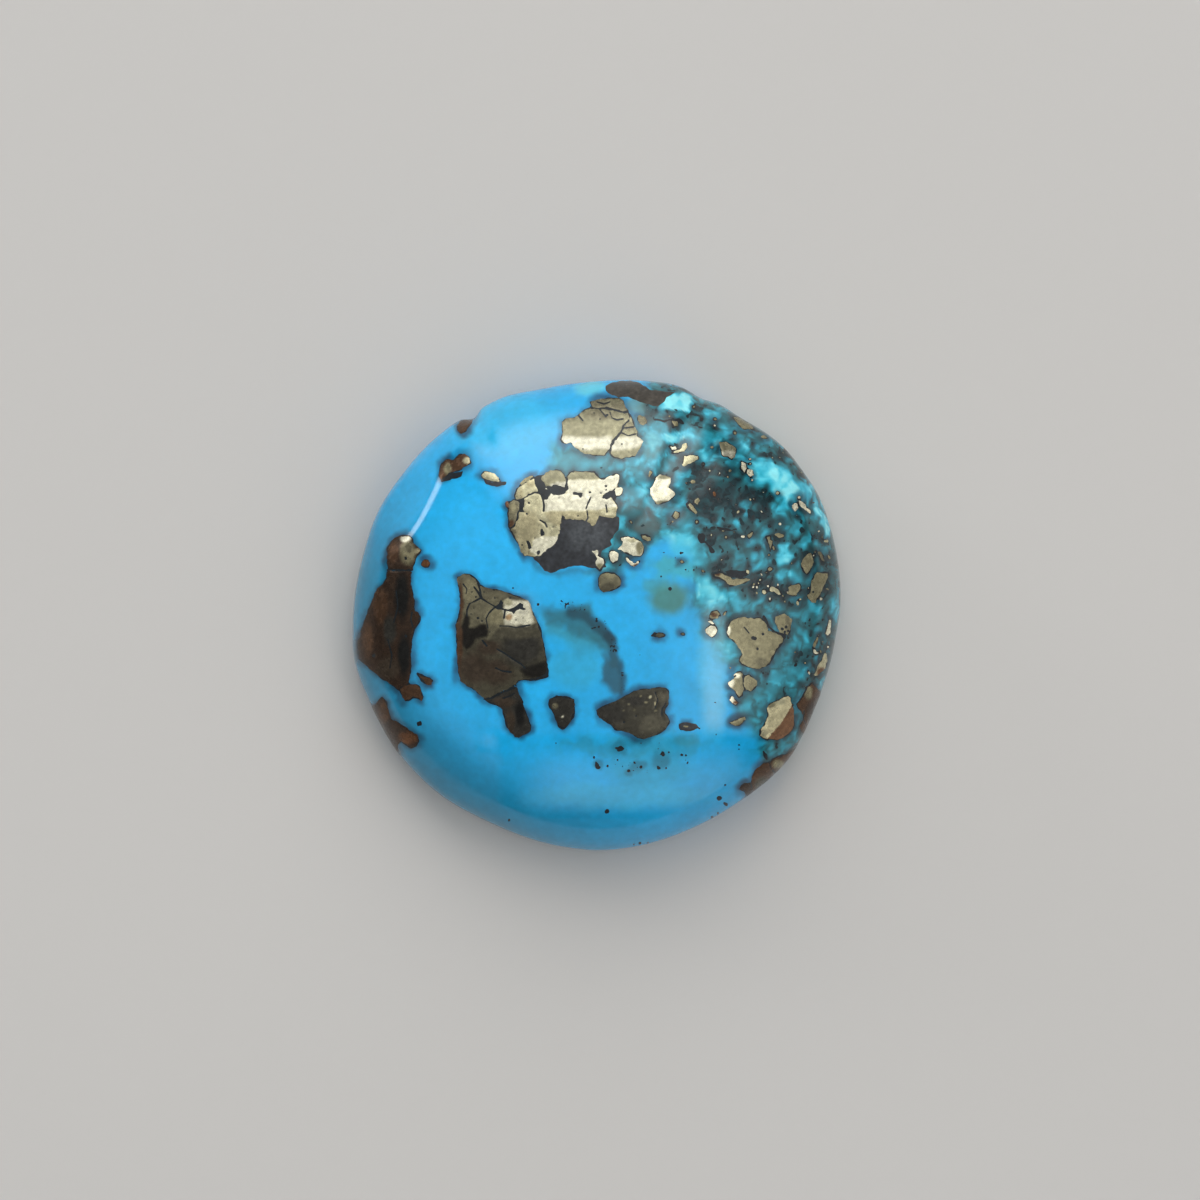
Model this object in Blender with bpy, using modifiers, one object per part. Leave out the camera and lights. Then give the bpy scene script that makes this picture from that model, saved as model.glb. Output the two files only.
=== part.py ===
"""Polished turquoise cabochon: one domed, nearly round stone with a flat back.

The frame is in metres. The origin is at the centre of the flat back, +Z points out of the
dome, and +Y is the side whose shoulder has the small nick.
"""
import math

import bmesh
import bpy

MM = 0.001

# Heights above the flat back
THICKNESS = 7.8 * MM
GIRDLE_TOP = 2.1 * MM
GIRDLE_LOW = 0.55 * MM
BACK_BEVEL = 0.5 * MM

# Nominal radius that the profile is drawn at, before it is fitted to the rim
NOMINAL_RADIUS = 13.0 * MM

# A superellipse makes the dome: a higher spread gives a flatter crown, a higher shoulder
# gives steeper sides
DOME_SPREAD = 2.45
DOME_SHOULDER = 2.1

DOME_RINGS = 22
TURN_STEPS = 120

# The rim seen from above, clockwise from the top, as (x, y) in millimetres
RIM_MM = (
    (1.06, 12.78), (2.90, 12.72), (4.53, 12.43), (5.66, 11.80), (6.69, 11.45),
    (7.89, 10.69), (9.40, 9.77), (10.33, 8.96), (11.14, 7.93), (12.11, 6.41),
    (12.87, 4.15), (13.25, 0.67), (12.98, -1.27), (11.90, -4.92), (10.38, -7.85),
    (8.24, -9.78), (5.53, -11.42), (2.03, -12.59), (0.11, -12.78), (-1.82, -12.59),
    (-5.72, -11.31), (-8.59, -9.69), (-10.65, -7.63), (-12.08, -5.23), (-13.11, -2.62),
    (-13.25, -0.88), (-12.76, 3.00), (-11.84, 5.71), (-10.60, 7.60), (-9.08, 9.34),
    (-7.45, 10.62), (-5.93, 11.45), (-4.96, 11.89), (-3.06, 12.29), (-0.89, 12.64),
)

# Small nick in the rim: its direction in degrees from +X, its depth, its half width along
# the rim, and the share of the radius where it starts
NICK_FACING = 122.0
NICK_DEPTH = 0.35 * MM
NICK_HALF_WIDTH = 0.50 * MM
NICK_START = 0.80

# Flats left by hand grinding, each a slanted plane that trims the dome: the direction it
# faces in degrees from +X, a distance from the centre, how far below the dome the plane
# lies there, its slope in degrees, and how widely its edge is rounded
GROUND_FLATS = (
    (149.2, 11.00 * MM, 0.02 * MM, 50.0, 0.22 * MM),
    (48.0, 12.10 * MM, 0.20 * MM, 47.0, 0.60 * MM),
    (-28.0, 11.80 * MM, 0.16 * MM, 45.0, 0.60 * MM),
    (-128.0, 11.70 * MM, 0.16 * MM, 45.0, 0.60 * MM),
)

TURQUOISE_BLUE = (0.060, 0.420, 0.720, 1.0)
POLISH_ROUGHNESS = 0.12


def rim_radius_function():
    """Return the rim's distance from the centre as a smooth function of the angle."""
    corners = sorted((math.atan2(y, x), math.hypot(x, y) * MM) for x, y in RIM_MM)
    count = len(corners)

    def corner(index):
        turn, place = divmod(index, count)
        angle, radius = corners[place]
        return angle + turn * math.tau, radius

    def slope(index):
        angle_0, radius_0 = corner(index - 1)
        angle_1, radius_1 = corner(index + 1)
        return (radius_1 - radius_0) / (angle_1 - angle_0)

    def radius_at(angle):
        angle = math.remainder(angle, math.tau)
        index = sum(1 for a, _ in corners if a <= angle) - 1
        angle_0, radius_0 = corner(index)
        angle_1, radius_1 = corner(index + 1)
        span = angle_1 - angle_0
        t = (angle - angle_0) / span
        rise = (1 + 2 * t) * (1 - t) ** 2 * radius_0 + t * t * (3 - 2 * t) * radius_1
        lean = t * (1 - t) ** 2 * slope(index) - t * t * (1 - t) * slope(index + 1)
        return rise + lean * span

    return radius_at


def soft_min(a, b, blend):
    """Return the lower of two heights, rounded where they cross."""
    overlap = max(blend - abs(a - b), 0.0)
    return min(a, b) - overlap * overlap / (4.0 * blend)


def dome_height(share):
    """Return the dome's height at a share of the way from the centre to the rim."""
    rise = max(1.0 - share ** DOME_SPREAD, 0.0) ** (1.0 / DOME_SHOULDER)
    return GIRDLE_TOP + (THICKNESS - GIRDLE_TOP) * rise


def profile_points():
    """Return the outer profile as (radius, height), from the crown down to the back."""
    points = []
    for ring in range(DOME_RINGS + 1):
        share = math.sin(0.5 * math.pi * ring / DOME_RINGS) ** (2.0 / DOME_SPREAD)
        points.append((NOMINAL_RADIUS * share, dome_height(share)))
    points.append((NOMINAL_RADIUS, 0.5 * (GIRDLE_TOP + GIRDLE_LOW)))
    points.append((NOMINAL_RADIUS - 0.1 * BACK_BEVEL, GIRDLE_LOW))
    points.append((NOMINAL_RADIUS - 0.4 * BACK_BEVEL, 0.4 * GIRDLE_LOW))
    points.append((NOMINAL_RADIUS - BACK_BEVEL, 0.0))
    return points


def turned_mesh(name):
    """Turn the profile about +Z with a Screw modifier and return the open-backed mesh."""
    outline = profile_points()
    profile = bpy.data.meshes.new(name + "_profile")
    vertices = [(radius, 0.0, height) for radius, height in outline]
    profile.from_pydata(vertices, [(i, i + 1) for i in range(len(outline) - 1)], [])
    holder = bpy.data.objects.new(name + "_profile", profile)
    bpy.context.scene.collection.objects.link(holder)
    screw = holder.modifiers.new("Turn", "SCREW")
    screw.axis = "Z"
    screw.steps = TURN_STEPS
    screw.render_steps = TURN_STEPS
    screw.use_merge_vertices = True
    screw.merge_threshold = 0.00001
    depsgraph = bpy.context.evaluated_depsgraph_get()
    mesh = bpy.data.meshes.new_from_object(holder.evaluated_get(depsgraph))
    bpy.data.objects.remove(holder)
    bpy.data.meshes.remove(profile)
    return mesh


def close_back(mesh):
    """Fill the open ring at the back with one flat face."""
    model = bmesh.new()
    model.from_mesh(mesh)
    bmesh.ops.remove_doubles(model, verts=model.verts, dist=0.00001)
    rim_edges = [edge for edge in model.edges if edge.is_boundary]
    bmesh.ops.holes_fill(model, edges=rim_edges, sides=0)
    bmesh.ops.recalc_face_normals(model, faces=model.faces)
    model.to_mesh(mesh)
    model.free()


def nick_depth(angle, share):
    """Return how far the nick moves a point inwards."""
    fade = min(max((share - NICK_START) / (1.0 - NICK_START), 0.0), 1.0)
    aside = math.remainder(angle - math.radians(NICK_FACING), math.tau) * NOMINAL_RADIUS
    return NICK_DEPTH * fade * math.exp(-(aside / NICK_HALF_WIDTH) ** 2)


def shape_by_hand(mesh):
    """Fit the turned form to the rim, cut the nick and trim the ground flats."""
    radius_at = rim_radius_function()
    for vertex in mesh.vertices:
        x, y, z = vertex.co
        angle = math.atan2(y, x)
        share = math.hypot(x, y) / NOMINAL_RADIUS
        radius = share * radius_at(angle) - nick_depth(angle, share)
        x = radius * math.cos(angle)
        y = radius * math.sin(angle)
        for facing, distance, depth, slope, blend in GROUND_FLATS:
            facing = math.radians(facing)
            top = dome_height(distance / radius_at(facing)) - depth
            along = x * math.cos(facing) + y * math.sin(facing)
            plane = top - (along - distance) * math.tan(math.radians(slope))
            if z > GIRDLE_TOP:
                z = soft_min(z, plane, blend)
        vertex.co = (x, y, z)


def turquoise_material():
    """Return the polished blue stone's material."""
    material = bpy.data.materials.new("turquoise")
    material.use_nodes = True
    shader = material.node_tree.nodes["Principled BSDF"]
    shader.inputs["Base Color"].default_value = TURQUOISE_BLUE
    shader.inputs["Roughness"].default_value = POLISH_ROUGHNESS
    shader.inputs["Metallic"].default_value = 0.0
    return material


def build_stone(collection):
    """Make the stone: turned, closed at the back, then ground to its real outline."""
    mesh = turned_mesh("turquoise_cabochon")
    close_back(mesh)
    shape_by_hand(mesh)
    mesh.shade_smooth()
    mesh.set_sharp_from_angle(angle=math.radians(35.0))
    mesh.materials.append(turquoise_material())
    stone = bpy.data.objects.new("turquoise_cabochon", mesh)
    collection.objects.link(stone)


def main():
    for old in list(bpy.data.objects):
        bpy.data.objects.remove(old)
    collection = bpy.data.collections.new("turquoise_cabochon_stone")
    bpy.context.scene.collection.children.link(collection)
    build_stone(collection)


main()
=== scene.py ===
"""Looks of a polished turquoise cabochon with metallic grains and dark webbing.

Markings are drawn in pixels of the photograph's 1200 x 1200 frame and carried onto
the stone's own surface, so they stay on it from every side. Everything else is in metres.
"""
import math

import bpy
import numpy as np
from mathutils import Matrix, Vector


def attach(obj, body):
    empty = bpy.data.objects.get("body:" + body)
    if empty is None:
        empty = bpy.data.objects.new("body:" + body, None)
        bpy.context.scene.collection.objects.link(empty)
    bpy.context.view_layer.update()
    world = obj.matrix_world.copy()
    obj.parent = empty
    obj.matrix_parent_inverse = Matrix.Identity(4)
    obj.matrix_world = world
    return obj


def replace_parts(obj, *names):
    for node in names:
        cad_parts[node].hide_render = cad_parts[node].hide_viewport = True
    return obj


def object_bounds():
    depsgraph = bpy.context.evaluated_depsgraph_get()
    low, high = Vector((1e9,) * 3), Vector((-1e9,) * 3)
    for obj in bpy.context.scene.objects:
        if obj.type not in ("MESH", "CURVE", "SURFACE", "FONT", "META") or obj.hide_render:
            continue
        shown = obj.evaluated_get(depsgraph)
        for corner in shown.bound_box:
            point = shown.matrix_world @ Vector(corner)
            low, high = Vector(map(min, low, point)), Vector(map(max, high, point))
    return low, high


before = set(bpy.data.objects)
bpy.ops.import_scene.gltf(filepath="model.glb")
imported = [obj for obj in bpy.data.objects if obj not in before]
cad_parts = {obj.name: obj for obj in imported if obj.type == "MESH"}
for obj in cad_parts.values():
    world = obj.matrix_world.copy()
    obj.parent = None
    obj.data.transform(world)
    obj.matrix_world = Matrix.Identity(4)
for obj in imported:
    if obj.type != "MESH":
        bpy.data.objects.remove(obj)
CAD_LOW, CAD_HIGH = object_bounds()

MM = 0.001

# The photograph's frame, its scale at the rim, and the stone's origin in it
PHOTO_PX = 1200
PX_PER_M = 18450.0
ORIGIN_PX = (596.5, 615.25)
CAMERA_HEIGHT = 0.60
CAMERA_RANGE = (0.01, 10.0)
SENSOR_WIDTH = 36.0

# The back is drawn beside that frame, as seen from below, around this place
BACK_PX = (2000.0, 615.25)

# The stone's form, as in the CAD solid
THICKNESS = CAD_HIGH.z - CAD_LOW.z
GIRDLE_TOP = 2.1 * MM
BEVEL_HEIGHT = 0.55 * MM
BEVEL_WIDTH = 0.5 * MM
NOMINAL_RADIUS = 13.0 * MM
DOME_SPREAD = 2.45
DOME_SHOULDER = 2.1
# The rim seen from above, clockwise from the top, as (x, y) in millimetres
RIM_MM = (
    (1.06, 12.78), (2.90, 12.72), (4.53, 12.43), (5.66, 11.80), (6.69, 11.45),
    (7.89, 10.69), (9.40, 9.77), (10.33, 8.96), (11.14, 7.93), (12.11, 6.41),
    (12.87, 4.15), (13.25, 0.67), (12.98, -1.27), (11.90, -4.92), (10.38, -7.85),
    (8.24, -9.78), (5.53, -11.42), (2.03, -12.59), (0.11, -12.78), (-1.82, -12.59),
    (-5.72, -11.31), (-8.59, -9.69), (-10.65, -7.63), (-12.08, -5.23), (-13.11, -2.62),
    (-13.25, -0.88), (-12.76, 3.00), (-11.84, 5.71), (-10.60, 7.60), (-9.08, 9.34),
    (-7.45, 10.62), (-5.93, 11.45), (-4.96, 11.89), (-3.06, 12.29), (-0.89, 12.64),
)
NICK_FACING = 122.0
NICK_DEPTH = 0.35 * MM
NICK_HALF_WIDTH = 0.50 * MM
NICK_START = 0.80
GROUND_FLATS = (
    (149.2, 11.00 * MM, 0.02 * MM, 50.0, 0.22 * MM),
    (48.0, 12.10 * MM, 0.20 * MM, 47.0, 0.60 * MM),
    (-28.0, 11.80 * MM, 0.16 * MM, 45.0, 0.60 * MM),
    (-128.0, 11.70 * MM, 0.16 * MM, 45.0, 0.60 * MM),
)

# Steps of the tables that give the rim and the profile
RIM_STEPS = 2881
DOME_STEPS = 4001
BEVEL_STEPS = 40

# How far the shown stone stays inside the CAD solid, so that nothing passes its box
SKIN = 0.03 * MM

# How far aside the surface is felt for its normal, for inlays and for reflections
NORMAL_REACH = 0.02 * MM
MIRROR_REACH = 0.05 * MM

# A pixel's place depends on the height there, so it is found in a few rounds
UNROLL_ROUNDS = 4

# Fine mesh of the stone: rings on the dome, then down the wall, then across the back
DOME_RINGS = 150
WALL_RINGS = 20
BACK_RINGS = 42

# Inlays are cut on a grid in the unrolled surface and sunk into the stone: the grid's steps,
# how much coarser it is on the back, their depth, and the degrees that make an edge sharp
INLAY_STEP = 0.050 * MM
MATRIX_STEP = 0.068 * MM
BACK_COARSENESS = 2.0
INLAY_DEPTH = 0.15 * MM
INLAY_CREASE = 50.0
# How far they stand proud, inside and at their edges
GRAIN_HEIGHTS = (0.018 * MM, 0.008 * MM)
SEAM_HEIGHTS = (0.004 * MM, 0.002 * MM)
FLECK_HEIGHTS = (0.0025 * MM, 0.0010 * MM)
# The distance in pixels over which they rise from edge to full height
RISE_WIDTH = 2.0

# Pixels that stand for far away, and how far beyond an outline its effect is looked for
FAR = 9.0
GRAIN_MARGIN = 4.0
SEAM_MARGIN = 6.0
LINE_MARGIN = 8.0

# Darkness of the web above which flecks of dark mineral show, and the pixels that stand
# for a whole step of darkness beside them
FLECK_LEVEL = 0.98
FLECK_WIDTH = 7.0

# Tiny bright grains strewn over the dark web: the pixel columns and rows tried, the number
# of tries, how dark the web has to be there, and how many grains are kept
DUST_COLUMNS = (640, 845)
DUST_ROWS = (400, 690)
DUST_TRIES = 900
DUST_LEVEL = 0.72
DUST_COUNT = 130

# Corners of each small grain
DOT_CORNERS = 7

# Polish: tone and roughness lie between two values, and bumps have a strength and a height
STONE_IOR = 1.61
STONE_TONES = (0.93, 1.07)
STONE_ROUGHNESS = (0.09, 0.17)
STONE_BUMP = (0.10, 0.02 * MM)
GRAIN_METALLIC = 0.6
GRAIN_TONES = (0.78, 1.18)
GRAIN_ROUGHNESS = (0.16, 0.36)
MATRIX_IOR = 1.47
MATRIX_TONES = (0.70, 1.35)
MATRIX_ROUGHNESS = 0.22
INLAY_BUMP = (0.25, 0.01 * MM)

# Fine noise in the polish, as bumps per metre and detail, and the span of its values used
STONE_CLOUD = (2600.0, 4.0)
STONE_SMEAR = (900.0, 4.0)
STONE_RIPPLE = (700.0, 2.0)
INLAY_GRIT = (5200.0, 5.0)
GRAIN_SMEAR = (3000.0, 4.0)
GRAIN_RIPPLE = (4200.0, 4.0)
MATRIX_RIPPLE = (3600.0, 4.0)
NOISE_SPAN = (0.3, 0.7)

# The studio: a pale floor, a dim sky with a dark place overhead, and glowing panels
FLOOR_RADIUS = 1.5
FLOOR_CORNERS = 64
FLOOR_COLOUR = (0.62, 0.61, 0.595)
FLOOR_ROUGHNESS = 0.9
LAMP_COLOUR = (1.0, 0.99, 0.97)
PANEL_DISTANCE = 0.80

# Dark place: azimuth and tilt from straight up, in degrees, then the sky's brightness at
# the cosine of the angle from there
DARK_LOBE = (-112.0, 13.0)
WORLD_LEVELS = ((0.0, 0.12), (0.50, 0.28), (0.80, 0.55), (0.93, 0.40), (0.985, 0.10))
# Broad bright side of the sky, given the same way
BRIGHT_SIDE = (-20.0, 38.0)
BRIGHT_LEVELS = ((0.50, 0.0), (0.80, 0.35), (1.0, 0.60))

# Panels given by azimuths and tilts in degrees, radiance, and how their edges fade
SKY_PANELS = (
    ("upper_softbox", (54.0, 133.0), (28.0, 89.3), 2.7, (0.15, 0.20, 0.10, 0.45, 0.30)),
    ("low_side_lamp", (139.0, 160.0), (70.0, 86.0), 5.0, (0.15, 0.15, 0.15, 0.1, 0.0)),
)
# Panels given by the pixel columns and rows between which their reflections show
MIRRORED_PANELS = (
    ("overhead_strip", (532, 704), (480, 511), 2.8, (0.06, 0.10, 0.06, 0.06, 0.0)),
    ("window_strip", (698, 730), (589, 742), 2.8, (0.30, 0.30, 0.15, 0.15, 0.0)),
    ("small_lamp", (505, 531), (603, 627), 2.4, (0.05, 0.05, 0.05, 0.05, 0.0)),
    ("lower_softbox", (500, 765), (735, 819), 1.0, (0.25, 0.20, 0.50, 0.25, 0.0)),
    ("faint_spot", (476, 500), (730, 753), 1.2, (0.45, 0.45, 0.45, 0.45, 0.0)),
)
PANEL_STEPS = 15

# Painted shade: how much the blue darkens towards the rim, by the direction in degrees from +X
RIM_TURNS = (0.0, 60.0, 140.0, 152.0, 170.0, 240.0, 268.0, 290.0, 330.0, 360.0)
RIM_SHADES = (0.40, 0.15, 0.10, 0.35, 0.85, 0.85, 0.60, 0.25, 0.40, 0.40)
# Shares of the radius between which that shade sets in
RIM_FADE = (0.66, 0.98)

# The dark halo round a grain: how far it reaches in pixels, how strong it is and how much
# that changes, and how much of red, green and blue it takes away
HALO_REACH = 7.5
HALO_STRENGTH = (0.86, 0.30)
HALO_SHADE = (0.75, 0.80, 0.78)

# Darkest and brightest colour of the stone
COLOUR_LIMITS = (0.002, 0.98)

# Stone colours, linear
BLUE = (0.009, 0.455, 0.900)
# Painted shade at the rim: a darker, greener blue
RIM_SHADE_BLUE = (0.010, 0.190, 0.310)
PALE = (0.115, 0.640, 0.800)
TEAL = (0.020, 0.240, 0.300)
TEAL_DULL = (0.030, 0.170, 0.180)
VEIN = (0.006, 0.085, 0.120)
STAIN = (0.005, 0.040, 0.062)
SMUDGE = (0.004, 0.170, 0.270)
GREEN = (0.058, 0.215, 0.140)
TAUPE = (0.110, 0.130, 0.120)

# Colours of the dark mineral between the grains, linear
BLACK = (0.004, 0.009, 0.013)
FLECK = (0.003, 0.022, 0.028)
SLATE = (0.058, 0.066, 0.074)
COAL = (0.022, 0.025, 0.030)
SOOT = (0.046, 0.040, 0.032)

# Where the slate-coloured area lies: its middle, half width and half height in pixels
SLATE_PLACE = (592, 536, 26, 18)

# Dark mineral fills the cracks between grains that both lie this near, in pixels
CRACK_REACH = 1.7

# Metal colours, linear
GOLD = (0.74, 0.67, 0.41)
# pale metal, also used as painted highlight on grains that mirror a lamp
CREAM = (0.80, 0.77, 0.58)
BRASS = (0.50, 0.47, 0.30)
SAND = (0.40, 0.36, 0.215)
TAN = (0.27, 0.245, 0.145)
OLIVE = (0.175, 0.160, 0.100)
KHAKI = (0.110, 0.100, 0.068)
LODEN = (0.100, 0.093, 0.065)
DRAB = (0.090, 0.082, 0.054)
GUNMETAL = (0.062, 0.058, 0.042)
IRON = (0.042, 0.040, 0.033)
JET = (0.012, 0.012, 0.011)
CHAR = (0.016, 0.014, 0.011)
AMBER = (0.50, 0.33, 0.17)
BRONZE = (0.240, 0.125, 0.066)
COPPER = (0.160, 0.080, 0.042)
BROWN = (0.095, 0.050, 0.026)
UMBER = (0.048, 0.028, 0.017)
SEPIA = (0.066, 0.048, 0.032)
RUST = (0.150, 0.065, 0.026)
# Grains under the brightest panels: darker metal, and painted highlights where those panels are
# mirrored
PEWTER = (0.235, 0.222, 0.140)
DIM_PEWTER = (0.180, 0.165, 0.105)
GLINT = (0.520, 0.505, 0.395)
BRIGHT = (0.640, 0.620, 0.480)


# Form of the stone


def rim_table():
    """Return the rim's radius at evenly spaced angles, as a smooth curve through RIM_MM."""
    corners = sorted((math.atan2(y, x), math.hypot(x, y) * MM) for x, y in RIM_MM)
    angle = np.array([a for a, _ in corners])
    radius = np.array([r for _, r in corners])
    before = np.concatenate(([angle[-1] - math.tau], angle[:-1]))
    after = np.concatenate((angle[1:], [angle[0] + math.tau]))
    slope = (np.roll(radius, -1) - np.roll(radius, 1)) / (after - before)
    at = np.linspace(-math.pi, math.pi, RIM_STEPS)
    index = np.searchsorted(angle, at, side="right") - 1
    start = np.where(index < 0, angle[-1] - math.tau, angle[index])
    end = np.where(index < 0, angle[0], after[index])
    following = (index + 1) % len(angle)
    span = end - start
    t = (at - start) / span
    rise = (1 + 2 * t) * (1 - t) ** 2 * radius[index] + t * t * (3 - 2 * t) * radius[following]
    lean = t * (1 - t) ** 2 * slope[index] - t * t * (1 - t) * slope[following]
    return at, rise + lean * span


def meridian_table():
    """Return arc length, share of the radius and height along the stone's profile, and the
    arc lengths at which the girdle and the back begin."""
    turn = np.linspace(0.0, 0.5 * math.pi, DOME_STEPS)
    dome_share = np.sin(turn) ** (2.0 / DOME_SPREAD)
    dome_rise = np.clip(np.cos(turn), 0.0, 1.0) ** (2.0 / DOME_SHOULDER)
    dome_z = GIRDLE_TOP + (THICKNESS - GIRDLE_TOP) * dome_rise
    bevel = np.linspace(0.0, 0.5 * math.pi, BEVEL_STEPS)
    bevel_share = 1.0 - BEVEL_WIDTH / NOMINAL_RADIUS * (1.0 - np.cos(bevel))
    bevel_z = BEVEL_HEIGHT * (1.0 - np.sin(bevel))
    share = np.concatenate((dome_share, bevel_share, [0.0]))
    height = np.concatenate((dome_z, bevel_z, [0.0]))
    steps = np.hypot(np.diff(share) * NOMINAL_RADIUS, np.diff(height))
    length = np.concatenate(([0.0], np.cumsum(steps)))
    return length, share, height, length[len(turn) - 1], length[-2]


RIM_ANGLE, RIM_RADIUS = rim_table()
ARC, ARC_SHARE, ARC_HEIGHT, ARC_GIRDLE, ARC_BACK = meridian_table()


def rim_radius(angle):
    return np.interp(angle, RIM_ANGLE, RIM_RADIUS)


def dome_height(share):
    rise = np.clip(1.0 - np.clip(share, 0.0, 1.0) ** DOME_SPREAD, 0.0, 1.0)
    return GIRDLE_TOP + (THICKNESS - GIRDLE_TOP) * rise ** (1.0 / DOME_SHOULDER)


def soft_min(a, b, blend):
    """Return the lower of two heights, rounded where they cross."""
    overlap = np.maximum(blend - np.abs(a - b), 0.0)
    return np.minimum(a, b) - overlap * overlap / (4.0 * blend)


def bare_surface(u, v):
    """Return the surface point under a place (u, v) of the unrolled surface.

    The distance from (0, 0) there is the arc length from the crown, over the rim and on to
    the middle of the back."""
    angle = np.arctan2(v, u)
    arc = np.hypot(u, v)
    share = np.interp(arc, ARC, ARC_SHARE)
    z = np.interp(arc, ARC, ARC_HEIGHT)
    aside = np.remainder(angle - math.radians(NICK_FACING) + math.pi, math.tau) - math.pi
    fade = np.clip((share - NICK_START) / (1.0 - NICK_START), 0.0, 1.0)
    nick = NICK_DEPTH * fade * np.exp(-(aside * NOMINAL_RADIUS / NICK_HALF_WIDTH) ** 2)
    radius = share * rim_radius(angle) - nick
    x = radius * np.cos(angle)
    y = radius * np.sin(angle)
    for facing, distance, depth, slope, blend in GROUND_FLATS:
        facing = math.radians(facing)
        top = dome_height(distance / rim_radius(facing)) - depth
        along = x * math.cos(facing) + y * math.sin(facing)
        plane = top - (along - distance) * math.tan(math.radians(slope))
        z = np.where(z > GIRDLE_TOP, soft_min(z, plane, blend), z)
    squeeze = 1.0 - SKIN / NOMINAL_RADIUS
    return np.stack((x * squeeze, y * squeeze, SKIN + z * (1.0 - 2.0 * SKIN / THICKNESS)), axis=-1)


def with_normal(u, v, reach):
    """Return surface points and a vector that stands upright on the surface at each."""
    point = bare_surface(u, v)
    return point, np.cross(bare_surface(u + reach, v) - point, bare_surface(u, v + reach) - point)


def raised_surface(u, v, lift):
    """Return surface points raised along the surface's normal."""
    point, normal = with_normal(u, v, NORMAL_REACH)
    normal /= np.maximum(np.linalg.norm(normal, axis=-1, keepdims=True), 1e-18)
    return point + normal * np.reshape(lift, (-1, 1))


# Between the photograph and the surface


def camera_place():
    """Return where the camera stands over the stone, straight above the frame's middle."""
    x = (0.5 * PHOTO_PX - ORIGIN_PX[0]) / PX_PER_M
    y = (ORIGIN_PX[1] - 0.5 * PHOTO_PX) / PX_PER_M
    return x, y, CAMERA_HEIGHT


def nearness(z):
    """Return how much larger than at the rim a thing at height z looks."""
    return (CAMERA_HEIGHT - GIRDLE_TOP) / (CAMERA_HEIGHT - z)


def pixels_of(u, v):
    """Return the photograph's pixel for places on the unrolled surface.

    Places past the rim count on outwards from it, so markings can run down the wall. The
    flat back has its own drawing beside the frame."""
    camera_x, camera_y, _ = camera_place()
    arc = np.maximum(np.hypot(u, v), 1e-12)
    inner = np.minimum(arc, ARC_GIRDLE) / arc
    point = bare_surface(u * inner, v * inner)
    scale = PX_PER_M * nearness(point[..., 2])
    beyond = np.maximum(arc - ARC_GIRDLE, 0.0) * PX_PER_M
    px = 0.5 * PHOTO_PX + (point[..., 0] - camera_x) * scale + beyond * u / arc
    py = 0.5 * PHOTO_PX - (point[..., 1] - camera_y) * scale - beyond * v / arc
    below = bare_surface(u, v)
    on_back = arc > ARC_BACK + 0.01 * MM
    px = np.where(on_back, BACK_PX[0] - below[..., 0] * PX_PER_M, px)
    py = np.where(on_back, BACK_PX[1] - below[..., 1] * PX_PER_M, py)
    return px, py


def unrolled(px, py):
    """Return the place on the unrolled surface for pixels of the photograph."""
    camera_x, camera_y, _ = camera_place()
    px = np.asarray(px, dtype=float)
    py = np.asarray(py, dtype=float)
    z = np.full(px.shape, GIRDLE_TOP)
    for _ in range(UNROLL_ROUNDS):
        x = camera_x + (px - 0.5 * PHOTO_PX) / (PX_PER_M * nearness(z))
        y = camera_y + (0.5 * PHOTO_PX - py) / (PX_PER_M * nearness(z))
        radius = np.hypot(x, y)
        angle = np.arctan2(y, x)
        share = radius / rim_radius(angle)
        z = dome_height(share)
    on_dome = ARC <= ARC_GIRDLE
    arc = np.interp(share, ARC_SHARE[on_dome], ARC[on_dome])
    arc = arc + np.maximum(radius - rim_radius(angle), 0.0)
    return arc * np.cos(angle), arc * np.sin(angle)


# Drawing tools


def distance_to_line(x, y, line):
    """Return each point's distance to a line of straight pieces."""
    nearest = np.full(np.shape(x), 1e9)
    for (x0, y0), (x1, y1) in zip(line, line[1:]):
        dx, dy = x1 - x0, y1 - y0
        t = ((x - x0) * dx + (y - y0) * dy) / max(dx * dx + dy * dy, 1e-30)
        t = np.clip(t, 0.0, 1.0)
        nearest = np.minimum(nearest, np.hypot(x - x0 - t * dx, y - y0 - t * dy))
    return nearest


def signed_distance(x, y, outline):
    """Return the distance to a closed outline, below zero inside it."""
    ring = [*outline, outline[0]]
    inside = np.zeros(np.shape(x), dtype=bool)
    for (x0, y0), (x1, y1) in zip(ring, ring[1:]):
        if y0 != y1:
            crosses = (y0 > y) != (y1 > y)
            inside ^= crosses & (x < (x1 - x0) * (y - y0) / (y1 - y0) + x0)
    distance = distance_to_line(x, y, ring)
    return np.where(inside, -distance, distance)


def smooth_step(low, high, value):
    """Return a smooth rise from 0 to 1 as the value goes from low to high."""
    t = np.clip((value - low) / (high - low), 0.0, 1.0)
    return t * t * (3.0 - 2.0 * t)


# Random values that the noise is drawn through, and how each seed turns and shifts them
LATTICE_SIZE = 256
LATTICE = np.random.default_rng(41).uniform(-1.0, 1.0, (LATTICE_SIZE, LATTICE_SIZE))
SEED_TURN = 2.4
SEED_SHIFT = (37.7, 91.3)


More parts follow.
